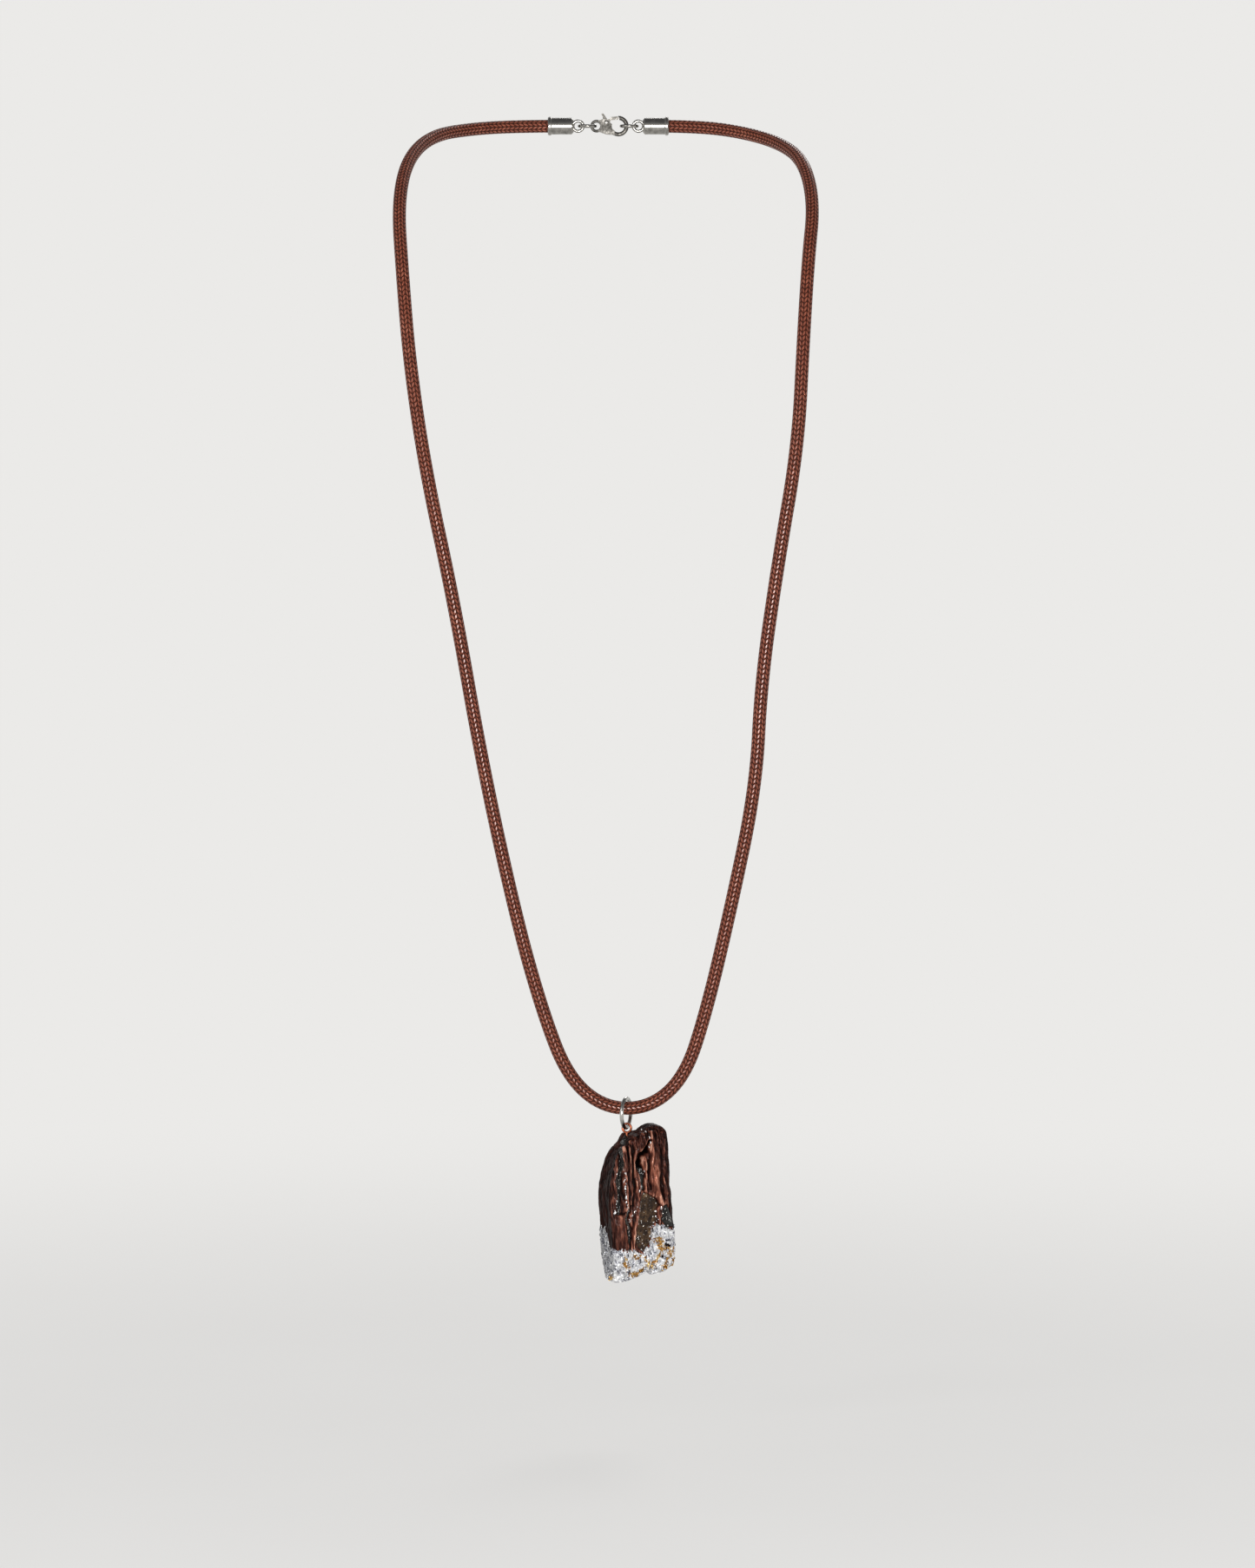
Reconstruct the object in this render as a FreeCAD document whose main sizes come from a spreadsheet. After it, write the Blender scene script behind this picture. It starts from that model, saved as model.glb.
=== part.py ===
import FreeCAD, Part
import Sketcher
import math
import os
from FreeCAD import Placement, Rotation, Vector

# A long pendant necklace: a braided round cord, a clasp at the nape and a leafed bark pendant.
# Millimetres. X is the wearer's left, Y points from the chest to the nape, Z is up.
# The origin is the middle of the neck at the height of the clasp.

doc = FreeCAD.newDocument("Necklace")
sheet = doc.addObject("Spreadsheet::Sheet", "Sizes")

SIZES = (
    # Cord and the cups glued to its ends.
    ("cord_diameter", 4.0),
    ("core_diameter", 2.8),
    ("core_play", 0.03),
    ("cup_play", 0.05),
    ("cup_wall", 0.55),
    ("cup_depth", 7.0),
    ("cup_floor", 1.0),
    ("cup_bead", 0.3),
    ("loop_radius", 1.6),
    ("loop_wire", 1.0),
    ("loop_rise", 1.4),
    # Closure at the nape.
    ("nape_reach", 47.0),
    ("link_outer", 6.0),
    ("link_wire", 1.0),
    ("link_play", 0.2),
    ("hook_play", 0.55),
    ("clasp_thickness", 2.4),
    ("tail_bore", 2.2),
    ("tail_wall", 0.9),
    ("claw_bore", 3.8),
    ("claw_wall", 1.3),
    ("claw_reach", 6.8),
    ("cheek_height", 4.2),
    ("cheek_clearance", 0.15),
    ("gate_thickness", 0.9),
    ("gate_play", 0.1),
    ("gate_bar", 1.0),
    ("gate_hub", 1.9),
    ("gate_reach", 4.05),
    ("mouth_gap", 0.2),
    ("rivet_along", 3.0),
    ("rivet_height", 1.15),
    ("rivet_diameter", 0.8),
    ("rivet_play", 0.04),
    ("rivet_head", 1.4),
    ("rivet_dome", 0.25),
    ("spring_wire", 0.18),
    ("spring_outer", 0.86),
    ("spring_turns", 4.0),
    # Ring that carries the pendant.
    ("hang_along", 5.6),
    ("hang_forward", 50.0),
    ("hang_drop", 296.5),
    ("hang_run", 13.4),
    ("ring_outer", 10.0),
    ("ring_wire", 1.2),
    ("ring_play", 0.25),
    ("ring_turn", 18.0),
    ("ring_seam", 0.06),
    # Eye pin of the pendant.
    ("pin_wire", 0.75),
    ("pin_eye", 3.4),
    ("pin_play", 0.25),
    ("pin_shift", 0.22),
    ("pin_length", 8.0),
    ("pin_cement", 0.2),
    # Pendant.
    ("bark_seat_gap", 0.12),
    ("bark_height", 43.9),
    ("bark_crest", 3.1),
    ("bark_width", 21.6),
    ("bark_thickness", 12.4),
    ("bark_offset", 3.4),
    ("bark_yaw", 20.0),
    ("resin_depth", 2.2),
    ("silver_thickness", 0.18),
    ("gold_thickness", 0.1),
)

for row, (alias, size) in enumerate(SIZES, start=1):
    sheet.set(f"A{row}", alias)
    sheet.set(f"B{row}", str(size))
    sheet.setAlias(f"B{row}", alias)
doc.recompute()


def size(alias):
    return float(getattr(sheet, alias))


def bind(obj, prop, formula):
    """Bind one property to the sheet; names in the formula in <> are its aliases."""
    obj.setExpression(prop, formula.replace("<", "Sizes.").replace(">", ""))


def primitive(kind, name, **formulas):
    obj = doc.addObject(kind, name)
    for prop, formula in formulas.items():
        bind(obj, prop, formula)
    return obj


def fuse(name, *shapes):
    obj = doc.addObject("Part::MultiFuse", name)
    obj.Shapes = list(shapes)
    return obj


def cut(name, base, tool):
    obj = doc.addObject("Part::Cut", name)
    obj.Base = base
    obj.Tool = tool
    return obj


def solid_feature(name, shape, placement=None):
    obj = doc.addObject("Part::Feature", name)
    obj.Shape = shape
    if placement is not None:
        obj.Placement = placement
    return obj


def origin_plane(body, role):
    for feature in body.Origin.OriginFeatures:
        if feature.Role == role:
            return feature
    raise ValueError(role)


def add_outline(sketch, corners):
    """Closed outline of straight sides through the given (x, y) corners."""
    points = [Vector(x, y, 0) for x, y in corners]
    first = sketch.GeometryCount
    for start, end in zip(points, points[1:] + points[:1]):
        sketch.addGeometry(Part.LineSegment(start, end), False)
    last = sketch.GeometryCount - 1
    for index in range(first, last + 1):
        following = first if index == last else index + 1
        sketch.addConstraint(Sketcher.Constraint("Coincident", index, 2, following, 1))


# ---------------------------------------------------------------------------------------------
# Layout of the closure along X, from the left cup to the right cup.

link_radius = (size("link_outer") - size("link_wire")) / 2
loop_inner = size("loop_radius") - size("loop_wire") / 2
link_wire_radius = size("link_wire") / 2
tail_radius = size("tail_bore") / 2

loop_to_link = loop_inner - size("link_play") - link_wire_radius + link_radius
link_to_tail = link_radius - link_wire_radius - size("link_play") + tail_radius
tail_to_hook = size("claw_reach") + size("claw_bore") / 2
hook_to_link = link_radius - link_wire_radius - size("hook_play")
closure_span = loop_to_link + link_to_tail + tail_to_hook + hook_to_link + loop_to_link

loop_x = -closure_span / 2
left_link_x = loop_x + loop_to_link
tail_x = left_link_x + link_to_tail
right_link_x = -loop_x - loop_to_link
closure = Vector(0, size("nape_reach"), 0)
cup_mouth_x = closure_span / 2 + size("loop_rise") + size("cup_floor") + size("cup_depth")
cord_start_x = cup_mouth_x - size("cup_depth")

# ---------------------------------------------------------------------------------------------
# Cord. It leaves the left cup, rounds the neck, falls down the chest to the ring and comes back.

nape = size("nape_reach")
chest = -size("hang_forward")
hem = -size("hang_drop")
ring_x = size("hang_along")
half_run = size("hang_run") / 2

CORD = (
    (-cord_start_x, nape, 0.0),
    (-27.0, nape, 0.0),
    (-42.0, 39.5, -1.0),
    (-54.5, 24.0, -3.5),
    (-61.5, 4.0, -11.5),
    (-63.5, -15.0, -25.5),
    (-61.8, -30.0, -45.0),
    (-59.3, -40.0, -73.0),
    (-54.3, -45.0, -106.0),
    (-46.0, -47.5, -144.0),
    (-37.5, -49.0, -193.0),
    (-27.2, -50.0, -240.0),
    (-19.3, -50.0, -268.0),
    (-12.0, -50.0, -287.0),
    (ring_x - half_run, chest, hem),
    (ring_x + half_run, chest, hem),
    (22.8, -50.0, -287.0),
    (29.3, -50.0, -268.0),
    (36.6, -50.0, -238.0),
    (44.5, -49.5, -200.0),
    (46.0, -49.0, -168.0),
    (51.0, -47.5, -133.0),
    (57.0, -45.5, -98.0),
    (58.7, -39.5, -66.0),
    (60.4, -29.0, -42.0),
    (62.5, -14.0, -25.0),
    (60.0, 5.0, -12.0),
    (53.5, 24.0, -6.0),
    (41.5, 39.5, -2.0),
    (27.0, nape, 0.0),
    (cord_start_x, nape, 0.0),
)


def cord_path(points):
    """Straight runs joined by arcs tangent to both runs."""
    corners = [Vector(*point) for point in points]
    edges = []
    start = corners[0]
    radii = []
    for before, corner, after in zip(corners, corners[1:], corners[2:]):
        back = (before - corner).normalize()
        ahead = (after - corner).normalize()
        half_turn = (math.pi - back.getAngle(ahead)) / 2
        reach = 0.45 * min((before - corner).Length, (after - corner).Length)
        radius = reach / math.tan(half_turn)
        arc_start = corner + back * reach
        arc_end = corner + ahead * reach
        inward = (back + ahead).normalize()
        centre_distance = radius / math.cos(half_turn)
        arc_middle = corner + inward * (centre_distance - radius)
        edges.append(Part.LineSegment(start, arc_start).toShape())
        edges.append(Part.Arc(arc_start, arc_middle, arc_end).toShape())
        radii.append(radius)
        start = arc_end
    edges.append(Part.LineSegment(start, corners[-1]).toShape())
    return Part.Wire(edges), radii


def tube(path, start, direction, radius):
    profile = Part.Wire([Part.Circle(start, direction, radius).toShape()])
    return path.makePipeShell([profile], True, False)


cord_wire, bend_radii = cord_path(CORD)
cord_begin = Vector(*CORD[0])
cord_heading = Vector(*CORD[1]) - cord_begin
print("cord length", round(cord_wire.Length, 1))
print("cord bend radii", [round(radius, 1) for radius in bend_radii])

core_bore = size("core_diameter") / 2 + size("core_play")
cord_solid = tube(cord_wire, cord_begin, cord_heading, size("cord_diameter") / 2)
cord_bore = tube(cord_wire, cord_begin, cord_heading, core_bore)
core_solid = tube(cord_wire, cord_begin, cord_heading, size("core_diameter") / 2)
cord_braid = solid_feature("cord_braid", cord_solid.cut(cord_bore))
cord_core = solid_feature("cord_core", core_solid)
ring_area = math.pi * (size("cord_diameter") ** 2 / 4 - core_bore ** 2)
print("cord volume ratio", round(cord_braid.Shape.Volume / (ring_area * cord_wire.Length), 5))

# ---------------------------------------------------------------------------------------------
# End cups: a turned cup with a bead at its mouth and a soldered wire loop on its closed end.


def end_cup(name, side):
    body = doc.addObject("PartDesign::Body", name + "_cup")
    outline = body.newObject("Sketcher::SketchObject", name + "_outline")
    outline.AttachmentSupport = [(origin_plane(body, "XZ_Plane"), "")]
    outline.MapMode = "FlatFace"
    bore = size("cord_diameter") / 2 + size("cup_play")
    outer = bore + size("cup_wall")
    floor = size("cup_floor")
    mouth = floor + size("cup_depth")
    bead = size("cup_bead")
    add_outline(outline, (
        (0, 0),
        (outer - bead * 2, 0),
        (outer, bead * 2),
        (outer, mouth - bead * 4),
        (outer + bead, mouth - bead * 3),
        (outer + bead, mouth - bead),
        (outer, mouth),
        (bore, mouth),
        (bore, floor),
        (0, floor),
    ))
    turned = body.newObject("PartDesign::Revolution", name + "_turned")
    turned.Profile = outline
    turned.ReferenceAxis = (outline, ["V_Axis"])
    turned.Angle = 360
    body.Tip = turned
    loop = primitive("Part::Torus", name + "_loop", Radius1="<loop_radius>", Radius2="<loop_wire> / 2")
    loop.Placement = Placement(Vector(0, 0, -size("loop_rise")), Rotation(Vector(1, 0, 0), 90))
    cup = fuse(name, body, loop)
    # The cup's axis points away from the clasp.
    away = Rotation(Vector(0, 1, 0), 90 * side)
    cup.Placement = Placement(closure + Vector(side * (cord_start_x - floor), 0, 0), away)
    return cup


end_cap_left = end_cup("end_cap_left", -1)
end_cap_right = end_cup("end_cap_right", 1)

# ---------------------------------------------------------------------------------------------
# Jump rings of the closure, each lying level through a cup's loop.


def link_ring(name, along):
    ring = primitive(
        "Part::Torus",
        name,
        Radius1="(<link_outer> - <link_wire>) / 2",
        Radius2="<link_wire> / 2",
    )
    ring.Placement.Base = closure + Vector(along, 0, 0)
    return ring


link_ring_left = link_ring("link_ring_left", left_link_x)
link_ring_right = link_ring("link_ring_right", right_link_x)

# ---------------------------------------------------------------------------------------------
# Lobster clasp. Its tail eye is at its own origin, X runs to the claw, Y is its thickness.

clasp_place = Placement(closure + Vector(tail_x, 0, 0), Rotation())
upright = Rotation(Vector(1, 0, 0), -90)
half_clasp = size("clasp_thickness") / 2


def clasp_disc(name, diameter, along, up, length="<clasp_thickness>"):
    """Cylinder across the clasp, centred on its thickness."""
    disc = primitive("Part::Cylinder", name, Radius=f"({diameter}) / 2", Height=length)
    disc.Placement.Rotation = upright
    bind(disc, "Placement.Base.x", along)
    bind(disc, "Placement.Base.y", f"-({length}) / 2")
    bind(disc, "Placement.Base.z", up)
    return disc


def across(name, corners, thickness):
    """Plate with the given (x, z) outline, centred on the clasp's thickness."""
    body = doc.addObject("PartDesign::Body", name)
    outline = body.newObject("Sketcher::SketchObject", name + "_outline")
    outline.AttachmentSupport = [(origin_plane(body, "XZ_Plane"), "")]
    outline.MapMode = "FlatFace"
    add_outline(outline, corners)
    plate = body.newObject("PartDesign::Pad", name + "_plate")
    plate.Profile = outline
    plate.Midplane = True
    bind(plate, "Length", thickness)
    body.Tip = plate
    return body


claw_x = size("claw_reach")
claw_inner = size("claw_bore") / 2
claw_outer = claw_inner + size("claw_wall")
cheek = size("cheek_height") / 2
rivet_x = size("rivet_along")
rivet_z = size("rivet_height")
hub = size("gate_hub") / 2
claw_left = claw_x - claw_inner
slot_floor = -cheek / 2
face_reach = size("gate_reach") + size("mouth_gap")
# How far a cutting shape runs past the surface that it opens.
overrun = 1.0


def on_sweep(reach, height):
    """The (x, z) place at this height, at this reach from the rivet, towards the claw's tip."""
    return rivet_x + math.sqrt(reach ** 2 - (height - rivet_z) ** 2), height


def clasp_hoop(name, bore, wall, along):
    """Round bar bent into a ring that faces across the clasp."""
    hoop = primitive("Part::Torus", name, Radius1=f"({bore} + {wall}) / 2", Radius2=f"{wall} / 2")
    hoop.Placement.Rotation = upright
    bind(hoop, "Placement.Base.x", along)
    return hoop


tail = clasp_hoop("clasp_tail", "<tail_bore>", "<tail_wall>", "0")
claw = clasp_hoop("clasp_claw", "<claw_bore>", "<claw_wall>", "<claw_reach>")
cheeks = across("clasp_cheeks", (
    (tail_radius * 0.4, -cheek * 0.8),
    (rivet_x, -claw_outer * 0.80),
    (claw_x - claw_inner * 0.6, -claw_outer * 0.86),
    (claw_x - claw_inner * 0.6, 0),
    (claw_left - 0.3, rivet_z),
    (rivet_x + hub, cheek),
    (rivet_x - hub, cheek + 0.15),
    (tail_radius * 0.4, cheek * 0.8),
), "<clasp_thickness>")
tail_hole = clasp_disc("clasp_tail_hole", "<tail_bore> + 2 * <cheek_clearance>", "0", "0")
claw_hole = clasp_disc("clasp_claw_hole", "<claw_bore> + 2 * <cheek_clearance>", "<claw_reach>", "0")
clasp_frame = cut("clasp_frame", cheeks, fuse("clasp_holes", tail_hole, claw_hole))
blank = fuse("clasp_blank", tail, claw, clasp_frame)
rivet_hole = clasp_disc("clasp_rivet_hole", "<rivet_diameter>", "<rivet_along>", "<rivet_height>")
# The claw's end face follows the sweep of the gate's end, so that the gate can swing in past it.
face_top = on_sweep(face_reach, claw_outer)
mouth_cut = across("clasp_mouth", (
    (rivet_x + hub + 0.25, claw_outer + overrun),
    (face_top[0], claw_outer + overrun),
    face_top,
    on_sweep(face_reach, claw_inner * 0.9),
    (claw_x, claw_inner * 0.5),
    (claw_left + 0.1, claw_inner * 0.2),
    (rivet_x + hub + 0.25, rivet_z),
), "<clasp_thickness>")
slot = across("clasp_slot", (
    (tail_radius + size("tail_wall") * 0.2, claw_outer + overrun),
    (claw_left + 0.5, claw_outer + overrun),
    (claw_left + 0.5, slot_floor),
    (rivet_x, slot_floor),
    (tail_radius + size("tail_wall"), rivet_z - hub),
), "<gate_thickness> + 2 * <gate_play>")
openings = fuse("clasp_openings", rivet_hole, mouth_cut, slot)
clasp_body = cut("clasp_body", blank, openings)
clasp_body.Placement = clasp_place

# The gate closes the claw from its hub on the rivet and carries the thumb tab.
bar = size("gate_bar")
claw_middle = (claw_inner + claw_outer) / 2
gate_bar = across("gate_bar_body", (
    (rivet_x - 0.5, rivet_z + hub * 0.6),
    (rivet_x + hub * 0.9, rivet_z + hub),
    (rivet_x + hub * 1.6, claw_middle + bar / 2 - 0.2),
    on_sweep(size("gate_reach"), claw_middle + bar / 2),
    on_sweep(size("gate_reach"), claw_middle - bar / 2),
    (rivet_x + hub * 1.7, claw_middle - bar / 2 - 0.2),
    (rivet_x + 0.5, rivet_z - hub * 0.4),
), "<gate_thickness>")
gate_tab = across("gate_tab_body", (
    (rivet_x - hub * 0.9, rivet_z),
    (rivet_x - hub * 1.2, rivet_z + hub * 2),
    (rivet_x - hub * 1.7, rivet_z + hub * 2.8),
    (rivet_x - hub * 1.0, rivet_z + hub * 3.0),
    (rivet_x - hub * 0.3, rivet_z + hub * 2),
    (rivet_x + hub * 0.5, rivet_z + hub * 0.8),
), "<gate_thickness>")
gate_disc = clasp_disc("gate_disc", "<gate_hub>", "<rivet_along>", "<rivet_height>", "<gate_thickness>")
gate_solid = fuse("gate_solid", gate_bar, gate_tab, gate_disc)
gate_hole = clasp_disc(
    "gate_hole",
    "<rivet_diameter> + 2 * <rivet_play>",
    "<rivet_along>",
    "<rivet_height>",
)
clasp_lever = cut("clasp_lever", gate_solid, gate_hole)
clasp_lever.Placement = clasp_place

# Rivet with a low dome on each cheek.
rivet_body = doc.addObject("PartDesign::Body", "clasp_rivet")
rivet_outline = rivet_body.newObject("Sketcher::SketchObject", "rivet_outline")
rivet_outline.AttachmentSupport = [(origin_plane(rivet_body, "XZ_Plane"), "")]
rivet_outline.MapMode = "FlatFace"
shank = size("rivet_diameter") / 2
head = size("rivet_head") / 2
dome = size("rivet_dome")
add_outline(rivet_outline, (
    (0, -half_clasp - dome),
    (head * 0.55, -half_clasp - dome * 0.8),
    (head, -half_clasp),
    (shank, -half_clasp),
    (shank, half_clasp),
    (head, half_clasp),
    (head * 0.55, half_clasp + dome * 0.8),
    (0, half_clasp + dome),
))
rivet_turned = rivet_body.newObject("PartDesign::Revolution", "rivet_turned")
rivet_turned.Profile = rivet_outline
rivet_turned.ReferenceAxis = (rivet_outline, ["V_Axis"])
rivet_turned.Angle = 360
rivet_body.Tip = rivet_turned
clasp_rivet = rivet_body
rivet_place = clasp_place.Base + Vector(rivet_x, 0, rivet_z)
clasp_rivet.Placement = Placement(rivet_place, upright)

# Small coil standing in the slot under the gate.
spring_wire = size("spring_wire") / 2
spring_radius = size("spring_outer") / 2 - spring_wire
spring_x = rivet_x + hub * 1.15
spring_top = rivet_z - 0.3
spring_length = spring_top - slot_floor - 2 * spring_wire - 0.04
spring_pitch = spring_length / size("spring_turns")
helix = Part.makeHelix(spring_pitch, spring_length, spring_radius)
spring_section = Part.Wire([
    Part.Circle(Vector(spring_radius, 0, 0), Vector(0, 1, 0), spring_wire).toShape(),
])
spring_foot = clasp_place.Base + Vector(spring_x, 0, slot_floor + spring_wire + 0.02)
clasp_spring = solid_feature(
    "clasp_spring",
    Part.Wire(helix.Edges).makePipeShell([spring_section], True, True),
    Placement(spring_foot, Rotation()),
)

# ---------------------------------------------------------------------------------------------
# Pendant ring round the cord, turned a little from square, with the seam where it was closed.

ring_radius = (size("ring_outer") - size("ring_wire")) / 2
ring_inner = ring_radius - size("ring_wire") / 2
ring_z = hem + size("cord_diameter") / 2 + size("ring_play") - ring_inner
ring_centre = Vector(ring_x, chest, ring_z)
ring_rotation = Rotation(Vector(0, 0, 1), -size("ring_turn")) * Rotation(Vector(0, 1, 0), 90)

hoop = primitive(
    "Part::Torus",
    "ring_hoop",
    Radius1="(<ring_outer> - <ring_wire>) / 2",
    Radius2="<ring_wire> / 2",
)
seam = primitive(
    "Part::Box",
    "ring_seam_cut",
    Length="2 * <ring_wire>",
    Width="<ring_seam>",
    Height="2 * <ring_wire>",
)
seam_place = Vector(ring_radius - size("ring_wire"), -size("ring_seam") / 2, -size("ring_wire"))
seam.Placement = Placement(Vector(), Rotation(Vector(0, 0, 1), 145)) * Placement(seam_place, Rotation())
pendant_ring = cut("pendant_ring", hoop, seam)
pendant_ring.Placement = Placement(ring_centre, ring_rotation)
ring_foot_z = ring_z - ring_radius

# ---------------------------------------------------------------------------------------------
# Eye pin: a loop round the foot of the ring and a shank cemented into the bark.

pin_wire = size("pin_wire") / 2
pin_radius = size("pin_eye") / 2 - pin_wire
pin_inner = pin_radius - pin_wire
pin_z = ring_foot_z + size("ring_wire") / 2 + size("pin_play") + 2 * pin_wire - size("pin_eye") / 2
pin_across = Rotation(Vector(0, 0, 1), -size("ring_turn"))
pin_centre = Vector(ring_x, chest, pin_z) + pin_across.multVec(Vector(size("pin_shift"), 0, 0))
seat_z = pin_z - size("pin_eye") / 2 - size("bark_seat_gap")

eye_loop = primitive(
    "Part::Torus",
    "pin_loop",
    Radius1="(<pin_eye> - <pin_wire>) / 2",
    Radius2="<pin_wire> / 2",
)
eye_loop.Placement.Rotation = Rotation(Vector(1, 0, 0), 90)
eye_shank = primitive("Part::Cylinder", "pin_shank", Radius="<pin_wire> / 2", Height="<pin_length>")
bind(eye_shank, "Placement.Base.z", "-(<pin_eye> - <pin_wire>) / 2 - <pin_length>")
eye_pin = fuse("eye_pin", eye_loop, eye_shank)
eye_pin.Placement = Placement(pin_centre, pin_across)
pin_tip_z = pin_z - pin_radius - size("pin_length")

# ---------------------------------------------------------------------------------------------
# Bark pendant. Its own frame: X across the front, Y into it, Z up from the seat of the pin.

# Round the piece: (across, deep) of each ridge and furrow, one being half the width or depth.
BARK_ROUND = (
    (-0.95, -0.74),
    (-0.70, -1.00),
    (-0.45, -0.84),
    (-0.18, -0.98),
    (0.08, -0.80),
    (0.36, -1.00),
    (0.64, -0.84),
    (0.88, -0.70),
    (1.00, -0.22),
    (0.90, 0.36),
    (0.50, 0.66),
    (-0.10, 0.82),
    (-0.60, 1.00),
    (-1.00, 0.74),
    (-0.94, 0.10),
    (-1.00, -0.38),
)

# Down the piece: (drop, middle, width, depth); the drop as a share of the height under the seat,
# the middle and width as shares of the greatest width, the depth as a share of the thickness.
BARK_DOWN = (
    (0.002, 0.190, 0.350, 0.58),
    (0.004, 0.095, 0.595, 0.74),
    (0.052, 0.097, 0.630, 0.84),
    (0.098, 0.042, 0.747, 0.89),
    (0.175, 0.001, 0.827, 0.94),
    (0.300, -0.025, 0.897, 0.97),
    (0.425, -0.023, 0.969, 0.98),
    (0.571, 0.007, 0.978, 1.00),
    (0.687, 0.030, 1.000, 1.00),
    (0.812, 0.037, 0.989, 0.98),
    (0.894, 0.023, 0.910, 0.94),
    (0.940, -0.084, 0.679, 0.79),
    (0.976, -0.224, 0.376, 0.61),
    (1.000, -0.308, 0.123, 0.39),
)
# The crest beside the pin, its rise as a share of the crest's height.
BARK_CREST = (
    (1.00, 0.201, 0.131, 0.36),
    (0.45, 0.199, 0.286, 0.52),
)

bark_height = size("bark_height")
bark_width = size("bark_width")
bark_depth = size("bark_thickness")
bark_rows = [(rise * size("bark_crest"), middle, width, depth) for rise, middle, width, depth in BARK_CREST]
bark_rows += [(-drop * bark_height, middle, width, depth) for drop, middle, width, depth in BARK_DOWN]
bark_place = Placement(
    Vector(ring_x + size("bark_offset"), chest, seat_z),
    Rotation(Vector(0, 0, 1), size("bark_yaw")),
)


def bark_solid(skin):
    """The bark's outside, grown by a skin all round and underneath."""
    sections = []
    for level, (z, middle, width, depth) in enumerate(bark_rows):
        half_width = width * bark_width / 2 + skin
        half_depth = depth * bark_depth / 2 + skin
        foot = -skin if level == len(bark_rows) - 1 else 0
        centre = middle * bark_width
        corners = [Vector(centre + u * half_width, v * half_depth, z + foot) for u, v in BARK_ROUND]
        sections.append(Part.makePolygon(corners + corners[:1]))
    return Part.makeLoft(sections, True, True)


def front_prism(corners, start, end):
    """Block with the given (across, up) outline between two depths."""
    points = [Vector(x, start, z) for x, z in corners]
    return Part.Face(Part.makePolygon(points + points[:1])).extrude(Vector(0, end - start, 0))


half_width = bark_width / 2
half_depth = bark_depth / 2
silver = size("silver_thickness")
gold = size("gold_thickness")
# How far the blocks that part the skins reach past the bark.
beyond = 2.0

# Furrows filled with resin, their corners as shares of half the width and of the height.
FISSURES = {
    "resin_fissure": (
        (0.06, -0.085), (0.26, -0.080), (0.22, -0.200), (0.12, -0.290), (0.10, -0.400),
        (-0.04, -0.400), (-0.06, -0.280), (-0.02, -0.180),
    ),
    "resin_patch": (
        (0.16, -0.440), (0.44, -0.400), (0.56, -0.480), (0.50, -0.620), (0.30, -0.770),
        (0.14, -0.790), (0.00, -0.640), (0.02, -0.520),
    ),
    "resin_cleft": (
        (-0.30, -0.500), (-0.18, -0.500), (-0.22, -0.620), (-0.26, -0.760),
        (-0.38, -0.760), (-0.36, -0.620),
    ),
    "resin_side": (
        (0.72, -0.470), (0.90, -0.440), (0.92, -0.640), (0.70, -0.640),
    ),
}

bark = bark_solid(0)
pin_hole_radius = pin_wire + size("pin_cement")
pin_local = bark_place.inverse().multVec(Vector(pin_centre.x, pin_centre.y, seat_z))
pin_hole_depth = seat_z - pin_tip_z
pin_hole_foot = pin_local - Vector(0, 0, pin_hole_depth)
pin_hole = Part.makeCylinder(pin_hole_radius, pin_hole_depth + overrun, pin_hole_foot)
pin_bore = Part.makeCylinder(pin_wire, pin_hole_depth + overrun, pin_hole_foot)
# The cement stops short of the rim of the drilled hole.
cement_depth = pin_hole_depth - 3 * size("pin_wire")
cement_solid = Part.makeCylinder(pin_hole_radius, cement_depth, pin_hole_foot)

resin_nodes = []
fissures = []
for name, shares in FISSURES.items():
    outline = [(x * half_width, z * bark_height) for x, z in shares]
    block = front_prism(outline, -half_depth - beyond, -half_depth + size("resin_depth"))
    fissures.append(block)
    resin_nodes.append(solid_feature(name, bark.common(block), bark_place))
bark_core = solid_feature("bark_core", bark.cut(pin_hole).cut(fissures), bark_place)
pin_cement = solid_feature("pin_cement", cement_solid.cut(pin_bore), bark_place)

# Silver leaf laid round the foot, with a ragged upper edge that climbs on the left side.
SILVER_EDGE = (
    (-1.20, -0.640), (-0.93, -0.640), (-0.86, -0.765), (-0.40, -0.765), (-0.12, -0.775),
    (0.10, -0.805), (0.24, -0.760), (0.36, -0.690), (0.42, -0.615), (0.72, -0.612),
    (0.86, -0.635), (1.20, -0.660),
)
edge = [(x * half_width, z * bark_height) for x, z in SILVER_EDGE]
deep = half_depth + beyond
silver_zone = front_prism(
    edge + [(half_width * 1.2, -bark_height - beyond), (-half_width * 1.2, -bark_height - beyond)],
    -deep,
    deep,
)
leafed = bark_solid(silver)
silver_leaf = solid_feature("silver_leaf", leafed.common(silver_zone).cut(bark), bark_place)

# Flecks of gold leaf on the silver: (across, up, width, height) as shares of half width and height.
GOLD_FLECKS = (
    (0.47, -0.735, 0.17, 0.050),
    (0.84, -0.800, 0.10, 0.030),
    (0.45, -0.845, 0.10, 0.030),
    (0.14, -0.880, 0.11, 0.040),
    (-0.48, -0.870, 0.09, 0.060),
)
gilded = bark_solid(silver + gold)
flecks = []
for along, up, wide, tall in GOLD_FLECKS:
    x = along * half_width
    z = up * bark_height
    dx = wide * half_width / 2
    dz = tall * bark_height / 2
    outline = [(x - dx, z - dz * 0.4), (x + dx * 0.3, z - dz), (x + dx, z + dz * 0.5), (x - dx * 0.4, z + dz)]
    flecks.append(gilded.common(front_prism(outline, -deep, 0)).cut(leafed))
gold_leaf = solid_feature("gold_leaf", Part.makeCompound(flecks), bark_place)

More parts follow.
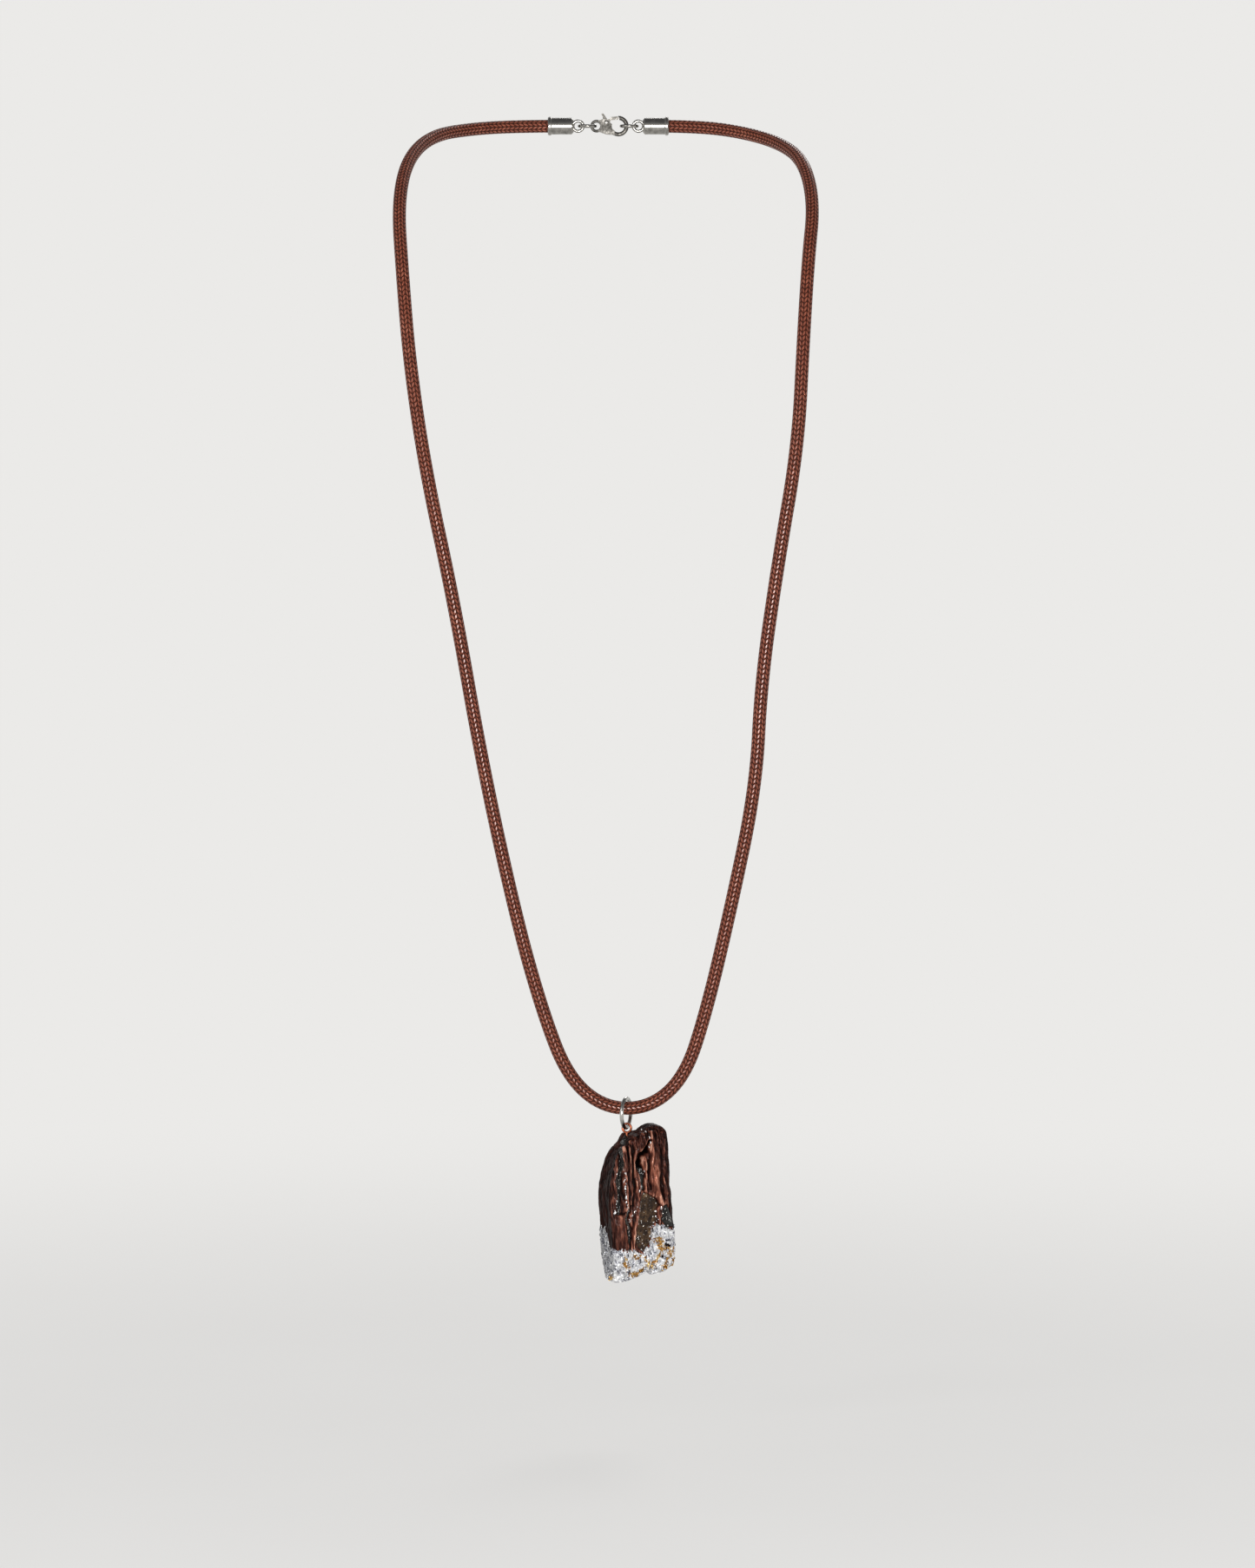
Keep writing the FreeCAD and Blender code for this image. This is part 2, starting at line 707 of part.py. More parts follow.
# ---------------------------------------------------------------------------------------------
# Check every object, then write one file per sub-part.

NODES = [
    cord_braid, cord_core, end_cap_left, end_cap_right, link_ring_left, link_ring_right,
    clasp_body, clasp_lever, clasp_rivet, clasp_spring, pendant_ring, eye_pin, pin_cement,
    bark_core, *resin_nodes, silver_leaf, gold_leaf,
]
for node in NODES:
    node.Label = node.Name

doc.recompute()
for obj in doc.Objects:
    if "Invalid" in obj.State or "Error" in obj.State:
        raise RuntimeError(f"{obj.Name}: {obj.State}")
os.makedirs("parts", exist_ok=True)
for node in NODES:
    shape = node.Shape
    if shape.isNull() or not shape.isValid() or shape.Volume <= 0:
        raise RuntimeError(f"{node.Label} has no valid shape")
    print(node.Label, len(shape.Solids), round(shape.Volume, 3))
    shape.exportStep(f"parts/{node.Label}.step")
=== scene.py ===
"""A long braided cord necklace with a pendant of glazed bark, filled with resin and dipped in leaf."""
import math
import random

import bmesh
import bpy
import numpy as np
from mathutils import Matrix, Vector, noise


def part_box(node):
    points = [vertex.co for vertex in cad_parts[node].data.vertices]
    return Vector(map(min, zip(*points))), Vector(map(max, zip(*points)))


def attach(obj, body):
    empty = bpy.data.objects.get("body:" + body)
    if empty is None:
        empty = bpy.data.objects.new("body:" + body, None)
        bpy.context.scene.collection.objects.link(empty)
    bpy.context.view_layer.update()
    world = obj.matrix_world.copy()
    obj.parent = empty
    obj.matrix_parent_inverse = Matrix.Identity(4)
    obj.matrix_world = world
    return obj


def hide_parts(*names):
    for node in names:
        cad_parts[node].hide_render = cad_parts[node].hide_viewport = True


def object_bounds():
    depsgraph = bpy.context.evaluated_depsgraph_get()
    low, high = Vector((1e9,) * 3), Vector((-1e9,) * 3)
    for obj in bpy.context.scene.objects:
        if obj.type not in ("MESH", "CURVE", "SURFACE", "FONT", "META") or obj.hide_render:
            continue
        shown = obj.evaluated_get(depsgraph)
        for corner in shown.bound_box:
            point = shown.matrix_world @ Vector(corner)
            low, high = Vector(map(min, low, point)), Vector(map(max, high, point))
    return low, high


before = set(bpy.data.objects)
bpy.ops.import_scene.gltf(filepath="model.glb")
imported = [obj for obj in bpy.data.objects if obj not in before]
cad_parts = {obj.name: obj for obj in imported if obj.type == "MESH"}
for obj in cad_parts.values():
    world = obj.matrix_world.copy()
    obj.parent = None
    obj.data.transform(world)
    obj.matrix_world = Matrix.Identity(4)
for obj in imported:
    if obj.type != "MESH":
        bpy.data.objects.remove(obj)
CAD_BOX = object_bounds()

MM = 0.001


def shade(hex_colour):
    """Turns an sRGB hex colour to linear RGBA."""
    parts = [int(hex_colour[i:i + 2], 16) / 255 for i in (1, 3, 5)]
    linear = [c / 12.92 if c <= 0.04045 else ((c + 0.055) / 1.055) ** 2.4 for c in parts]
    return (*linear, 1.0)


def add_node(tree, kind, links=None, stops=(), **settings):
    """Adds a node: its settings, what feeds each input, and a ramp's (position, colour) stops."""
    node = tree.nodes.new(kind)
    for name, value in settings.items():
        setattr(node, name, value)
    for name, value in (links or {}).items():
        if isinstance(value, bpy.types.NodeSocket):
            tree.links.new(value, node.inputs[name])
        else:
            node.inputs[name].default_value = value
    if stops:
        spots = node.color_ramp.elements
        for spot, (position, colour) in ((spots[0], stops[0]), (spots[1], stops[-1])):
            spot.position = position
            spot.color = shade(colour)
        for position, colour in stops[1:-1]:
            spots.new(position).color = shade(colour)
    return node


def finish_named(name, build):
    """Makes a material: build adds its nodes to the tree and returns the shader."""
    material = bpy.data.materials.new(name)
    material.use_nodes = True
    tree = material.node_tree
    tree.nodes.clear()
    shader = build(tree)
    add_node(tree, "ShaderNodeOutputMaterial", {"Surface": shader.outputs[0]})
    return material


def mesh_piece(name, places, faces, smooth=True):
    """A piece with its corners in metres."""
    mesh = bpy.data.meshes.new(name)
    mesh.from_pydata([tuple(place) for place in places], [], faces)
    mesh.validate()
    mesh.polygons.foreach_set("use_smooth", [smooth] * len(mesh.polygons))
    piece = bpy.data.objects.new(name, mesh)
    bpy.context.scene.collection.objects.link(piece)
    return piece


# Camera: level with the chest and a little above it.

VIEW_CENTRE = Vector((6.0, -50.0, -198.9)) * MM
VIEW_DISTANCE = 2.0
VIEW_HEIGHT = 0.4696
VIEW_ELEVATION = math.radians(4.0)

camera_data = bpy.data.cameras.new("camera")
camera_data.sensor_fit = "VERTICAL"
camera_data.angle_y = 2 * math.atan(VIEW_HEIGHT / 2 / VIEW_DISTANCE)
camera = bpy.data.objects.new("camera", camera_data)
bpy.context.scene.collection.objects.link(camera)
back = Vector((0, -math.cos(VIEW_ELEVATION), math.sin(VIEW_ELEVATION)))
camera.location = VIEW_CENTRE + back * VIEW_DISTANCE
camera.rotation_euler = back.to_track_quat("Z", "Y").to_euler()
bpy.context.scene.camera = camera

# Cord, in millimetres: from the left end cup round the neck, down to the ring, and back to the right.

CORD_DIAMETER = 4.0
CORD_ROUTE = (
    (-11.825, 47, 0), (-27, 47, 0), (-42, 39.5, -1), (-54.5, 24, -3.5), (-61.5, 4, -11.5),
    (-63.5, -15, -25.5), (-61.8, -30, -45), (-59.3, -40, -73), (-54.3, -45, -106),
    (-46, -47.5, -144), (-37.5, -49, -193), (-27.2, -50, -240), (-19.3, -50, -268),
    (-12, -50, -287), (-1.1, -50, -296.5), (12.5, -50, -296.6), (23.2, -50, -287.3),
    (29.5, -50, -268), (36.6, -50, -238), (44.5, -49.5, -200), (46, -49, -168),
    (51, -47.5, -133), (57, -45.5, -98), (58.7, -39.5, -66), (60.4, -29, -42),
    (62.5, -14, -25), (60, 5, -12), (53.5, 24, -6), (41.5, 39.5, -2), (27, 47, 0),
    (11.825, 47, 0),
)
CORD_SIDES = 28
CORD_STEP = 0.55


def cord_line(points):
    """The smooth line that the points pull along, and how far along it each place is."""
    data = bpy.data.curves.new("cord_line", "CURVE")
    data.dimensions = "3D"
    spline = data.splines.new("NURBS")
    spline.points.add(len(points) - 1)
    for point, place in zip(spline.points, points):
        point.co = (*(Vector(place) * MM), 1)
    spline.order_u = 3
    spline.use_endpoint_u = True
    spline.resolution_u = 48
    curve = bpy.data.objects.new("cord_line", data)
    bpy.context.scene.collection.objects.link(curve)
    graph = bpy.context.evaluated_depsgraph_get()
    mesh = bpy.data.meshes.new_from_object(curve.evaluated_get(graph))
    line = np.array([corner.co for corner in mesh.vertices])
    bpy.data.objects.remove(curve)
    steps = np.linalg.norm(np.diff(line, axis=0), axis=1)
    return line, np.concatenate([[0], np.cumsum(steps)])


def cord_tube(line, along):
    """Tube round the line, its UV running (turns round, millimetres along)."""
    count = int(along[-1] / (CORD_STEP * MM))
    places = np.linspace(0, along[-1], count + 1)
    centre = np.stack([np.interp(places, along, line[:, k]) for k in range(3)], axis=1)
    heading = np.gradient(centre, axis=0)
    heading /= np.linalg.norm(heading, axis=1)[:, None]
    side = np.cross(heading[0], (0, 0, 1.0))
    turns = np.arange(CORD_SIDES) / CORD_SIDES
    angles = 2 * math.pi * turns
    rings = []
    for place, forward in zip(centre, heading):
        side = side - forward * side.dot(forward)
        side /= np.linalg.norm(side)
        spokes = np.outer(np.cos(angles), side) + np.outer(np.sin(angles), np.cross(forward, side))
        rings.append(place + spokes * CORD_DIAMETER / 2 * MM)
    faces = []
    braid = []
    for step in range(count):
        low, high = places[step] / MM, places[step + 1] / MM
        for turn in range(CORD_SIDES):
            beside = (turn + 1) % CORD_SIDES
            here, there = step * CORD_SIDES, (step + 1) * CORD_SIDES
            faces.append((here + turn, here + beside, there + beside, there + turn))
            left, right = turn / CORD_SIDES, (turn + 1) / CORD_SIDES
            braid += [left, low, right, low, right, high, left, high]
    tube = mesh_piece("braided_cord", np.concatenate(rings), faces)
    tube.data.uv_layers.new(name="braid").data.foreach_set("uv", braid)
    return tube, centre


def waxed_cotton(tree):
    """Braided cotton yarn under a brown glaze: rows of slanted stitches, each with a wet glint."""
    # A real 4 mm cord has 16 columns of stitches 1.04 mm long. They are drawn coarser, to show.
    columns = 12
    stitch = 1.5
    layout = add_node(tree, "ShaderNodeUVMap", uv_map="braid")
    split = add_node(tree, "ShaderNodeSeparateXYZ", {0: layout.outputs["UV"]})
    column = add_node(tree, "ShaderNodeMath", {0: split.outputs["X"], 1: columns}, operation="MULTIPLY")
    within = add_node(tree, "ShaderNodeMath", {0: column.outputs[0]}, operation="FRACT")
    whole = add_node(tree, "ShaderNodeMath", {0: column.outputs[0]}, operation="FLOOR")
    odd = add_node(tree, "ShaderNodeMath", {0: whole.outputs[0], 1: 2}, operation="MODULO")
    # Stitches lean one way in odd columns and the other way in even ones.
    lean = add_node(tree, "ShaderNodeMath", {0: odd.outputs[0], 1: 1.6, 2: -0.8}, operation="MULTIPLY_ADD")
    offset = add_node(tree, "ShaderNodeMath", {0: within.outputs[0], 1: 0.5}, operation="SUBTRACT")
    rows = add_node(tree, "ShaderNodeMath", {0: split.outputs["Y"], 1: stitch}, operation="DIVIDE")
    row = add_node(tree, "ShaderNodeMath", {
        0: offset.outputs[0], 1: lean.outputs[0], 2: rows.outputs[0],
    }, operation="MULTIPLY_ADD")
    row_turn = add_node(tree, "ShaderNodeMath", {0: row.outputs[0], 1: math.pi}, operation="MULTIPLY")
    row_wave = add_node(tree, "ShaderNodeMath", {0: row_turn.outputs[0]}, operation="SINE")
    row_round = add_node(tree, "ShaderNodeMath", {0: row_wave.outputs[0]}, operation="ABSOLUTE")
    side_turn = add_node(tree, "ShaderNodeMath", {0: within.outputs[0], 1: math.pi}, operation="MULTIPLY")
    side_round = add_node(tree, "ShaderNodeMath", {0: side_turn.outputs[0]}, operation="SINE")
    swell = add_node(tree, "ShaderNodeMath", {
        0: row_round.outputs[0], 1: side_round.outputs[0],
    }, operation="MULTIPLY")
    crown = add_node(tree, "ShaderNodeMapRange", {
        "Value": swell.outputs[0], "From Max": 0.6,
    }, interpolation_type="SMOOTHERSTEP")
    # The glaze lies on top of the stitches, so that each one shines as one spot.
    glaze = add_node(tree, "ShaderNodeMapRange", {
        "Value": swell.outputs[0], "From Min": 0.6, "From Max": 0.85, "To Max": 1.0,
    })
    place = add_node(tree, "ShaderNodeTexCoord")
    # Uneven dye, in patches of a few millimetres.
    dye = add_node(tree, "ShaderNodeTexNoise", {
        "Vector": place.outputs["Object"], "Scale": 1 / (4 * MM), "Detail": 3, "Roughness": 0.6,
    })
    # Fibres of the yarn, 0.3 mm bundles.
    fibre = add_node(tree, "ShaderNodeTexNoise", {
        "Vector": place.outputs["Object"], "Scale": 1 / (0.3 * MM), "Detail": 2,
    })
    dyed = add_node(tree, "ShaderNodeMath", {
        0: dye.outputs["Fac"], 1: 0.5, 2: -0.24,
    }, operation="MULTIPLY_ADD")
    # The colour is painted darker in the gaps between the stitches and lighter on their crowns: painted
    # shade and highlight of the braid's relief.
    tone = add_node(tree, "ShaderNodeMath", {
        0: crown.outputs["Result"], 1: 0.85, 2: dyed.outputs[0],
    }, operation="MULTIPLY_ADD", use_clamp=True)
    colour = add_node(tree, "ShaderNodeValToRGB", {"Fac": tone.outputs[0]}, stops=(
        (0.1, "#35180f"), (0.42, "#552719"), (0.7, "#733827"), (0.88, "#864733"), (1.0, "#a5654f"),
    ))
    height = add_node(tree, "ShaderNodeMath", {
        0: fibre.outputs["Fac"], 1: 0.2, 2: crown.outputs["Result"],
    }, operation="MULTIPLY_ADD")
    relief = add_node(tree, "ShaderNodeBump", {
        "Height": height.outputs[0], "Strength": 1.0, "Distance": 0.14 * MM,
    })
    return add_node(tree, "ShaderNodeBsdfPrincipled", {
        "Base Color": colour.outputs["Color"],
        "Roughness": 0.6,
        "Specular IOR Level": 0.15,
        "Normal": relief.outputs["Normal"],
        "Coat Weight": glaze.outputs["Result"],
        "Coat Roughness": 0.28,
    })


cord_places, cord_along = cord_line(CORD_ROUTE)
cord, cord_centre = cord_tube(cord_places, cord_along)
cord.data.materials.append(finish_named("waxed_braided_cotton", waxed_cotton))
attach(cord, "cord")
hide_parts("cord_braid", "cord_core")


# Fittings: the closure at the nape, the pendant's ring and its pin.


def worn_metal(dull, bright, roughness):
    """Polished metal after some wear: a cloudy haze and small soft dents."""

    def build(tree):
        place = add_node(tree, "ShaderNodeTexCoord")
        # Haze in clouds of 1.5 mm, dents of 0.4 mm.
        haze = add_node(tree, "ShaderNodeTexNoise", {
            "Vector": place.outputs["Object"], "Scale": 1 / (1.5 * MM), "Detail": 5, "Roughness": 0.65,
        })
        dents = add_node(tree, "ShaderNodeTexNoise", {
            "Vector": place.outputs["Object"], "Scale": 1 / (0.4 * MM), "Detail": 2,
        })
        tint = add_node(tree, "ShaderNodeValToRGB", {"Fac": haze.outputs["Fac"]}, stops=(
            (0.32, dull), (0.68, bright),
        ))
        rough = add_node(tree, "ShaderNodeMapRange", {
            "Value": haze.outputs["Fac"], "From Min": 0.3, "From Max": 0.7,
            "To Min": roughness * 1.4, "To Max": roughness * 0.7,
        })
        relief = add_node(tree, "ShaderNodeBump", {
            "Height": dents.outputs["Fac"], "Strength": 0.3, "Distance": 0.04 * MM,
        })
        return add_node(tree, "ShaderNodeBsdfPrincipled", {
            "Base Color": tint.outputs["Color"],
            "Metallic": 1.0,
            "Roughness": rough.outputs["Result"],
            "Normal": relief.outputs["Normal"],
        })

    return build


def set_cement(tree):
    """Two-part cement, set in the drilled hole: dull amber with tiny bubbles."""
    place = add_node(tree, "ShaderNodeTexCoord")
    bubbles = add_node(tree, "ShaderNodeTexVoronoi", {
        "Vector": place.outputs["Object"], "Scale": 1 / (0.3 * MM),
    })
    colour = add_node(tree, "ShaderNodeValToRGB", {"Fac": bubbles.outputs["Distance"]}, stops=(
        (0.1, "#6a5a44"), (0.6, "#41362a"),
    ))
    relief = add_node(tree, "ShaderNodeBump", {
        "Height": bubbles.outputs["Distance"], "Strength": 0.4, "Distance": 0.05 * MM,
    })
    return add_node(tree, "ShaderNodeBsdfPrincipled", {
        "Base Color": colour.outputs["Color"], "Roughness": 0.4, "Normal": relief.outputs["Normal"],
    })


silver_plate = finish_named("silver_plated_brass", worn_metal("#7b7974", "#b0ada7", 0.26))
# The clasp's plate is painted darker and rougher to hold back the key lamp's reflection: painted shade.
darkened_plate = finish_named("darkened_silver_plate", worn_metal("#464440", "#76736e", 0.48))
fittings = {
    "end_cap_left": silver_plate,
    "end_cap_right": silver_plate,
    "link_ring_left": silver_plate,
    "link_ring_right": silver_plate,
    "clasp_body": darkened_plate,
    "clasp_lever": darkened_plate,
    "clasp_rivet": silver_plate,
    "clasp_spring": finish_named("spring_steel_wire", worn_metal("#6d6d6e", "#a7a7a6", 0.3)),
    "pendant_ring": finish_named("stainless_steel_wire", worn_metal("#95938f", "#c9c7c2", 0.2)),
    "eye_pin": finish_named("bare_copper_wire", worn_metal("#8a452e", "#c9795a", 0.3)),
    "pin_cement": finish_named("set_epoxy_cement", set_cement),
}
for node_name, finish in fittings.items():
    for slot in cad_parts[node_name].material_slots:
        slot.material = finish

# Pendant. Its own measures are across from its middle and drop below its crest, in millimetres.

ring_low, ring_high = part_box("pendant_ring")
bark_low, bark_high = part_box("bark_core")
RING_TO_MIDDLE = 3.4
MIDDLE = (ring_low[0] + ring_high[0]) / 2 / MM + RING_TO_MIDDLE
CHEST = (ring_low[1] + ring_high[1]) / 2 / MM
CREST = bark_high[2] / MM
FOOT = CREST - bark_low[2] / MM
YAW = math.radians(20.0)

# Seen from the front: (drop, left edge, right edge, half depth).
OUTLINE = np.array([
    (0.0, 3.0, 4.7, 0.8), (0.3, 2.3, 5.6, 2.0), (0.9, 1.4, 6.5, 3.2), (1.7, 0.3, 7.3, 4.0),
    (2.5, -0.7, 7.8, 4.6), (3.1, -2.1, 8.0, 4.9), (3.4, -4.1, 8.1, 5.0), (4.1, -5.1, 8.3, 5.2),
    (5.9, -6.0, 8.6, 5.5), (7.0, -7.8, 8.7, 5.7), (8.2, -8.6, 8.7, 5.8), (10.3, -9.6, 8.7, 6.0),
    (14.2, -10.7, 8.9, 6.1), (18.4, -11.4, 9.0, 6.2), (20.3, -11.6, 9.6, 6.2),
    (24.5, -11.6, 9.6, 6.3), (28.3, -11.2, 9.8, 6.3), (31.2, -11.0, 10.3, 6.4),
    (36.1, -10.7, 10.4, 6.4), (40.3, -10.3, 10.3, 6.2), (42.1, -10.0, 9.8, 5.9),
    (43.2, -9.9, 8.7, 5.5), (44.2, -9.8, 6.8, 5.1), (44.8, -9.6, 3.4, 4.7), (45.4, -9.4, 0.6, 4.3),
    (46.2, -9.2, -1.8, 3.6), (46.9, -8.7, -4.0, 2.6), (47.2, -7.8, -5.6, 1.2),
])

# Round the piece from the front left edge, as shares of half the width and half the depth.
SECTION = np.array([
    (-0.94, -0.86), (-0.82, -0.95), (-0.50, -0.98), (-0.15, -1.00), (0.20, -1.00), (0.55, -0.97),
    (0.82, -0.84), (0.97, -0.50), (1.00, -0.10), (0.93, 0.32), (0.70, 0.62), (0.25, 0.80),
    (-0.25, 0.90), (-0.70, 0.98), (-0.93, 0.92), (-1.00, 0.70), (-0.97, 0.20), (-0.97, -0.35),
    (-0.98, -0.70),
])
PLACES_ROUND = 340
PLACES_DOWN = 270
# Shares of the half depth that the yaw adds to the half width, and moves the middle aside by.
DEPTH_IN_WIDTH = 0.41
DEPTH_IN_MIDDLE = 0.29


def outline_rows():
    """Rows of the outline, evenly spaced along its edge and a little softened."""
    steps = np.abs(np.diff(OUTLINE, axis=0))
    run = np.concatenate([[0], np.cumsum(steps[:, 0] + 0.45 * (steps[:, 1] + steps[:, 2]))])
    places = np.linspace(0, run[-1], PLACES_DOWN)
    rows = np.stack([np.interp(places, run, column) for column in OUTLINE.T], axis=1)
    weights = np.array([1, 3, 5, 3, 1]) / 13
    for column in (1, 2, 3):
        rows[:, column] = np.convolve(np.pad(rows[:, column], 2, mode="edge"), weights, mode="valid")
    return rows.T


def section_round():
    """The section as a smooth closed line, its places closer together on the front."""
    fine = []
    for before, start, end, after in zip(
            np.roll(SECTION, 1, 0), SECTION, np.roll(SECTION, -1, 0), np.roll(SECTION, -2, 0)):
        for t in np.linspace(0, 1, 24, endpoint=False):
            fine.append(0.5 * (
                2 * start + (end - before) * t
                + (2 * before - 5 * start + 4 * end - after) * t ** 2
                + (3 * start - before - 3 * end + after) * t ** 3
            ))
    fine = np.array(fine + fine[:1])
    steps = np.linalg.norm(np.diff(fine * (1.6, 1.0), axis=0), axis=1)
    steps *= np.where(fine[1:, 1] < -0.4, 1.5, 1.0)
    run = np.concatenate([[0], np.cumsum(steps)])
    places = np.linspace(0, run[-1], PLACES_ROUND, endpoint=False)
    return np.interp(places, run, fine[:, 0]), np.interp(places, run, fine[:, 1])


def bare_piece():
    """The piece before it is carved: a grid of places, rows down it and columns round it."""
    drop, left, right, depth = outline_rows()
    share_across, share_into = section_round()
    # Turned by the yaw, the depth shows at the sides and takes its part of the width.
    half_width = ((right - left) / 2 - DEPTH_IN_WIDTH * depth * math.sin(YAW)) / math.cos(YAW)
    middle = ((right + left) / 2 + DEPTH_IN_MIDDLE * depth * math.sin(YAW)) / math.cos(YAW)
    across = middle[:, None] + share_across * half_width[:, None]
    into = share_into * depth[:, None]
    x = MIDDLE + across * math.cos(YAW) - into * math.sin(YAW)
    y = CHEST + across * math.sin(YAW) + into * math.cos(YAW)
    z = np.broadcast_to(CREST - drop[:, None], x.shape)
    return np.stack([x, y, z], axis=2)


def facing(grid):
    """The way that each place of the grid faces."""
    down = np.gradient(grid, axis=0)
    around = np.roll(grid, -1, axis=1) - np.roll(grid, 1, axis=1)
    normal = np.cross(around, down)
    normal /= np.maximum(np.linalg.norm(normal, axis=2, keepdims=True), 1e-9)
    outwards = ((grid - grid.mean(axis=(0, 1))) * normal).sum()
    return normal if outwards > 0 else -normal


bare = bare_piece()
faces_to = facing(bare)
ACROSS = bare[..., 0] - MIDDLE
DROP = CREST - bare[..., 2]
# How much each place faces the front, the left flank, and either flank.
FRONT = np.clip((-faces_to[..., 1] - 0.15) / 0.45, 0, 1)
LEFT = np.clip((-faces_to[..., 0] - 0.55) / 0.3, 0, 1)
SIDES = np.maximum(LEFT, np.clip((faces_to[..., 0] - 0.45) / 0.4, 0, 1))


def grain(size, stretch, seed, octaves=3, lean=0.0):
    """Cloudy figure of about this size in millimetres, drawn out down the piece by stretch."""
    places = bare / size * (1, 1, 1 / stretch) + seed
    places[..., 0] -= lean * DROP / size
    return np.array([
        noise.fractal(Vector(place), 1.0, 2.0, octaves) for place in places.reshape(-1, 3)
    ]).reshape(DROP.shape)


def stroke(points, width, across=ACROSS, drop=DROP):
    """1 along a line drawn on the front, falling to 0 over its width and thinning at its ends."""
    points = np.array(points, float)
    runs = np.linalg.norm(np.diff(points, axis=0), axis=1)
    done = np.concatenate([[0], np.cumsum(runs)])
    mark = np.zeros_like(across)
    for start, end, run, before in zip(points, points[1:], runs, done):
        dx, dz = end - start
        share = np.clip(((across - start[0]) * dx + (drop - start[1]) * dz) / run ** 2, 0, 1)
        distance = np.hypot(across - start[0] - share * dx, drop - start[1] - share * dz)
        place = np.clip((before + share * run) / done[-1], 0.03, 0.97)
        local = width * (0.35 + 0.65 * np.sin(np.pi * place) ** 0.5)
        mark = np.maximum(mark, np.exp(-(distance / local) ** 2))
    return mark


def pool(corners, across, drop):
    """How far inside a closed outline on the front each place is; outside is negative."""
    corners = np.array(corners, float)
    within = np.zeros(across.shape, bool)
    nearest = np.full(across.shape, 1e9)
    for start, end in zip(corners, np.roll(corners, -1, axis=0)):
        dx, dz = end - start
        share = np.clip(((across - start[0]) * dx + (drop - start[1]) * dz) / (dx * dx + dz * dz), 0, 1)
        distance = np.hypot(across - start[0] - share * dx, drop - start[1] - share * dz)
        nearest = np.minimum(nearest, distance)
        if dz:
            spans = (start[1] > drop) != (end[1] > drop)
            within ^= spans & (across < start[0] + (drop - start[1]) * dx / dz)
    return np.where(within, nearest, -nearest)


def softened(field, reach):
    """The field, each place shared with its neighbours over and over."""
    for _ in range(reach):
        field = (np.roll(field, 1, axis=1) + 2 * field + np.roll(field, -1, axis=1)) / 4
        field = (field[np.r_[0, 0:len(field) - 1]] + 2 * field + field[np.r_[1:len(field), -1]]) / 4
    return field


BIG_RIDGE = ((3.9, 2.4), (4.4, 7.8), (4.9, 12.0), (5.3, 15.1), (5.9, 19.3), (6.8, 22.6), (7.6, 25.0))
SMOOTH_BLOCK = ((-5.6, 26.6), (-5.0, 32.0), (-4.6, 37.4))
FISSURE = ((3.7, 4.7), (2.4, 7.6), (0.6, 9.6), (0.2, 11.2), (0.8, 13.0), (1.6, 15.2), (1.7, 19.0))
CLEFT = ((-2.3, 23.8), (-3.1, 28.0), (-2.2, 30.7), (-2.5, 34.9), (-2.0, 38.0))
LEFT_EDGE = (
    (-3.0, 2.8), (-4.3, 6.0), (-5.0, 10.0), (-5.4, 14.0), (-5.5, 18.0), (-5.7, 22.0), (-6.0, 26.0),
)

# Ridges and furrows of the bark on the front: (height or depth, half width, line).
RIDGES = (
    (1.30, 1.25, BIG_RIDGE),
    (0.80, 1.00, ((1.5, 1.6), (1.0, 4.7), (-0.3, 8.4), (-0.9, 12.0), (-1.2, 15.0))),
    (0.95, 0.85, ((-3.5, 4.8), (-3.9, 9.9), (-3.7, 14.1), (-3.4, 18.2), (-3.0, 22.4), (-3.3, 25.4))),
    (0.55, 0.55, ((-1.9, 4.7), (-2.4, 9.9), (-2.1, 15.1), (-1.7, 20.3), (-2.4, 24.6))),
    (0.60, 0.50, (
        (0.3, 11.0), (-0.6, 16.2), (0.0, 20.3), (0.2, 23.4), (-0.6, 27.1), (-1.1, 31.2), (-0.9, 37.0),
    )),
    (0.55, 0.45, ((4.1, 5.8), (2.9, 9.9), (2.3, 13.0))),
    (0.45, 0.70, ((7.9, 4.5), (8.1, 10.0), (7.9, 16.0), (8.6, 20.5))),
    (0.60, 1.80, SMOOTH_BLOCK),
    (0.35, 0.60, ((0.2, 25.6), (-0.2, 30.0), (0.0, 36.0))),
)
FURROWS = (
    (3.00, 0.72, FISSURE),
    (0.55, 0.50, ((3.2, 7.6), (3.6, 11.0), (3.5, 15.0), (3.9, 19.0))),
    (0.55, 0.50, ((6.7, 6.0), (7.1, 12.0), (7.2, 18.0), (7.9, 22.5))),
    (0.55, 0.40, ((-2.9, 6.0), (-3.1, 12.0), (-2.7, 18.0), (-2.6, 24.0))),
    (0.50, 0.40, ((-1.1, 6.0), (-1.5, 12.0), (-1.0, 18.0), (-1.2, 24.0))),
    (1.50, 0.45, CLEFT),
    (0.70, 0.60, ((-5.4, 7.5), (-5.2, 14.0), (-5.0, 20.0), (-5.0, 25.8))),
    (0.60, 0.40, ((-6.6, 26.0), (-4.4, 26.2), (-2.8, 25.2))),
)
OLIVE_POOL = (
    (1.8, 19.6), (5.2, 21.8), (6.5, 24.0), (5.6, 25.5), (6.0, 28.6), (4.0, 30.2), (4.3, 32.8),
    (3.9, 35.4), (1.9, 38.2), (0.2, 36.8), (-0.5, 33.8), (0.2, 29.7), (1.0, 25.5), (0.8, 22.9),
)
SIDE_POOL = ((7.2, 24.2), (8.6, 24.0), (9.9, 26.4), (11.6, 31.0), (8.6, 30.8), (6.9, 28.0))
BED_DEPTH = 1.1
# The notch between the two lobes of the foot: its place across, where it starts, and its height.
NOTCH_ACROSS = 2.2
NOTCH_START = 40.5
NOTCH_HEIGHT = 1.1

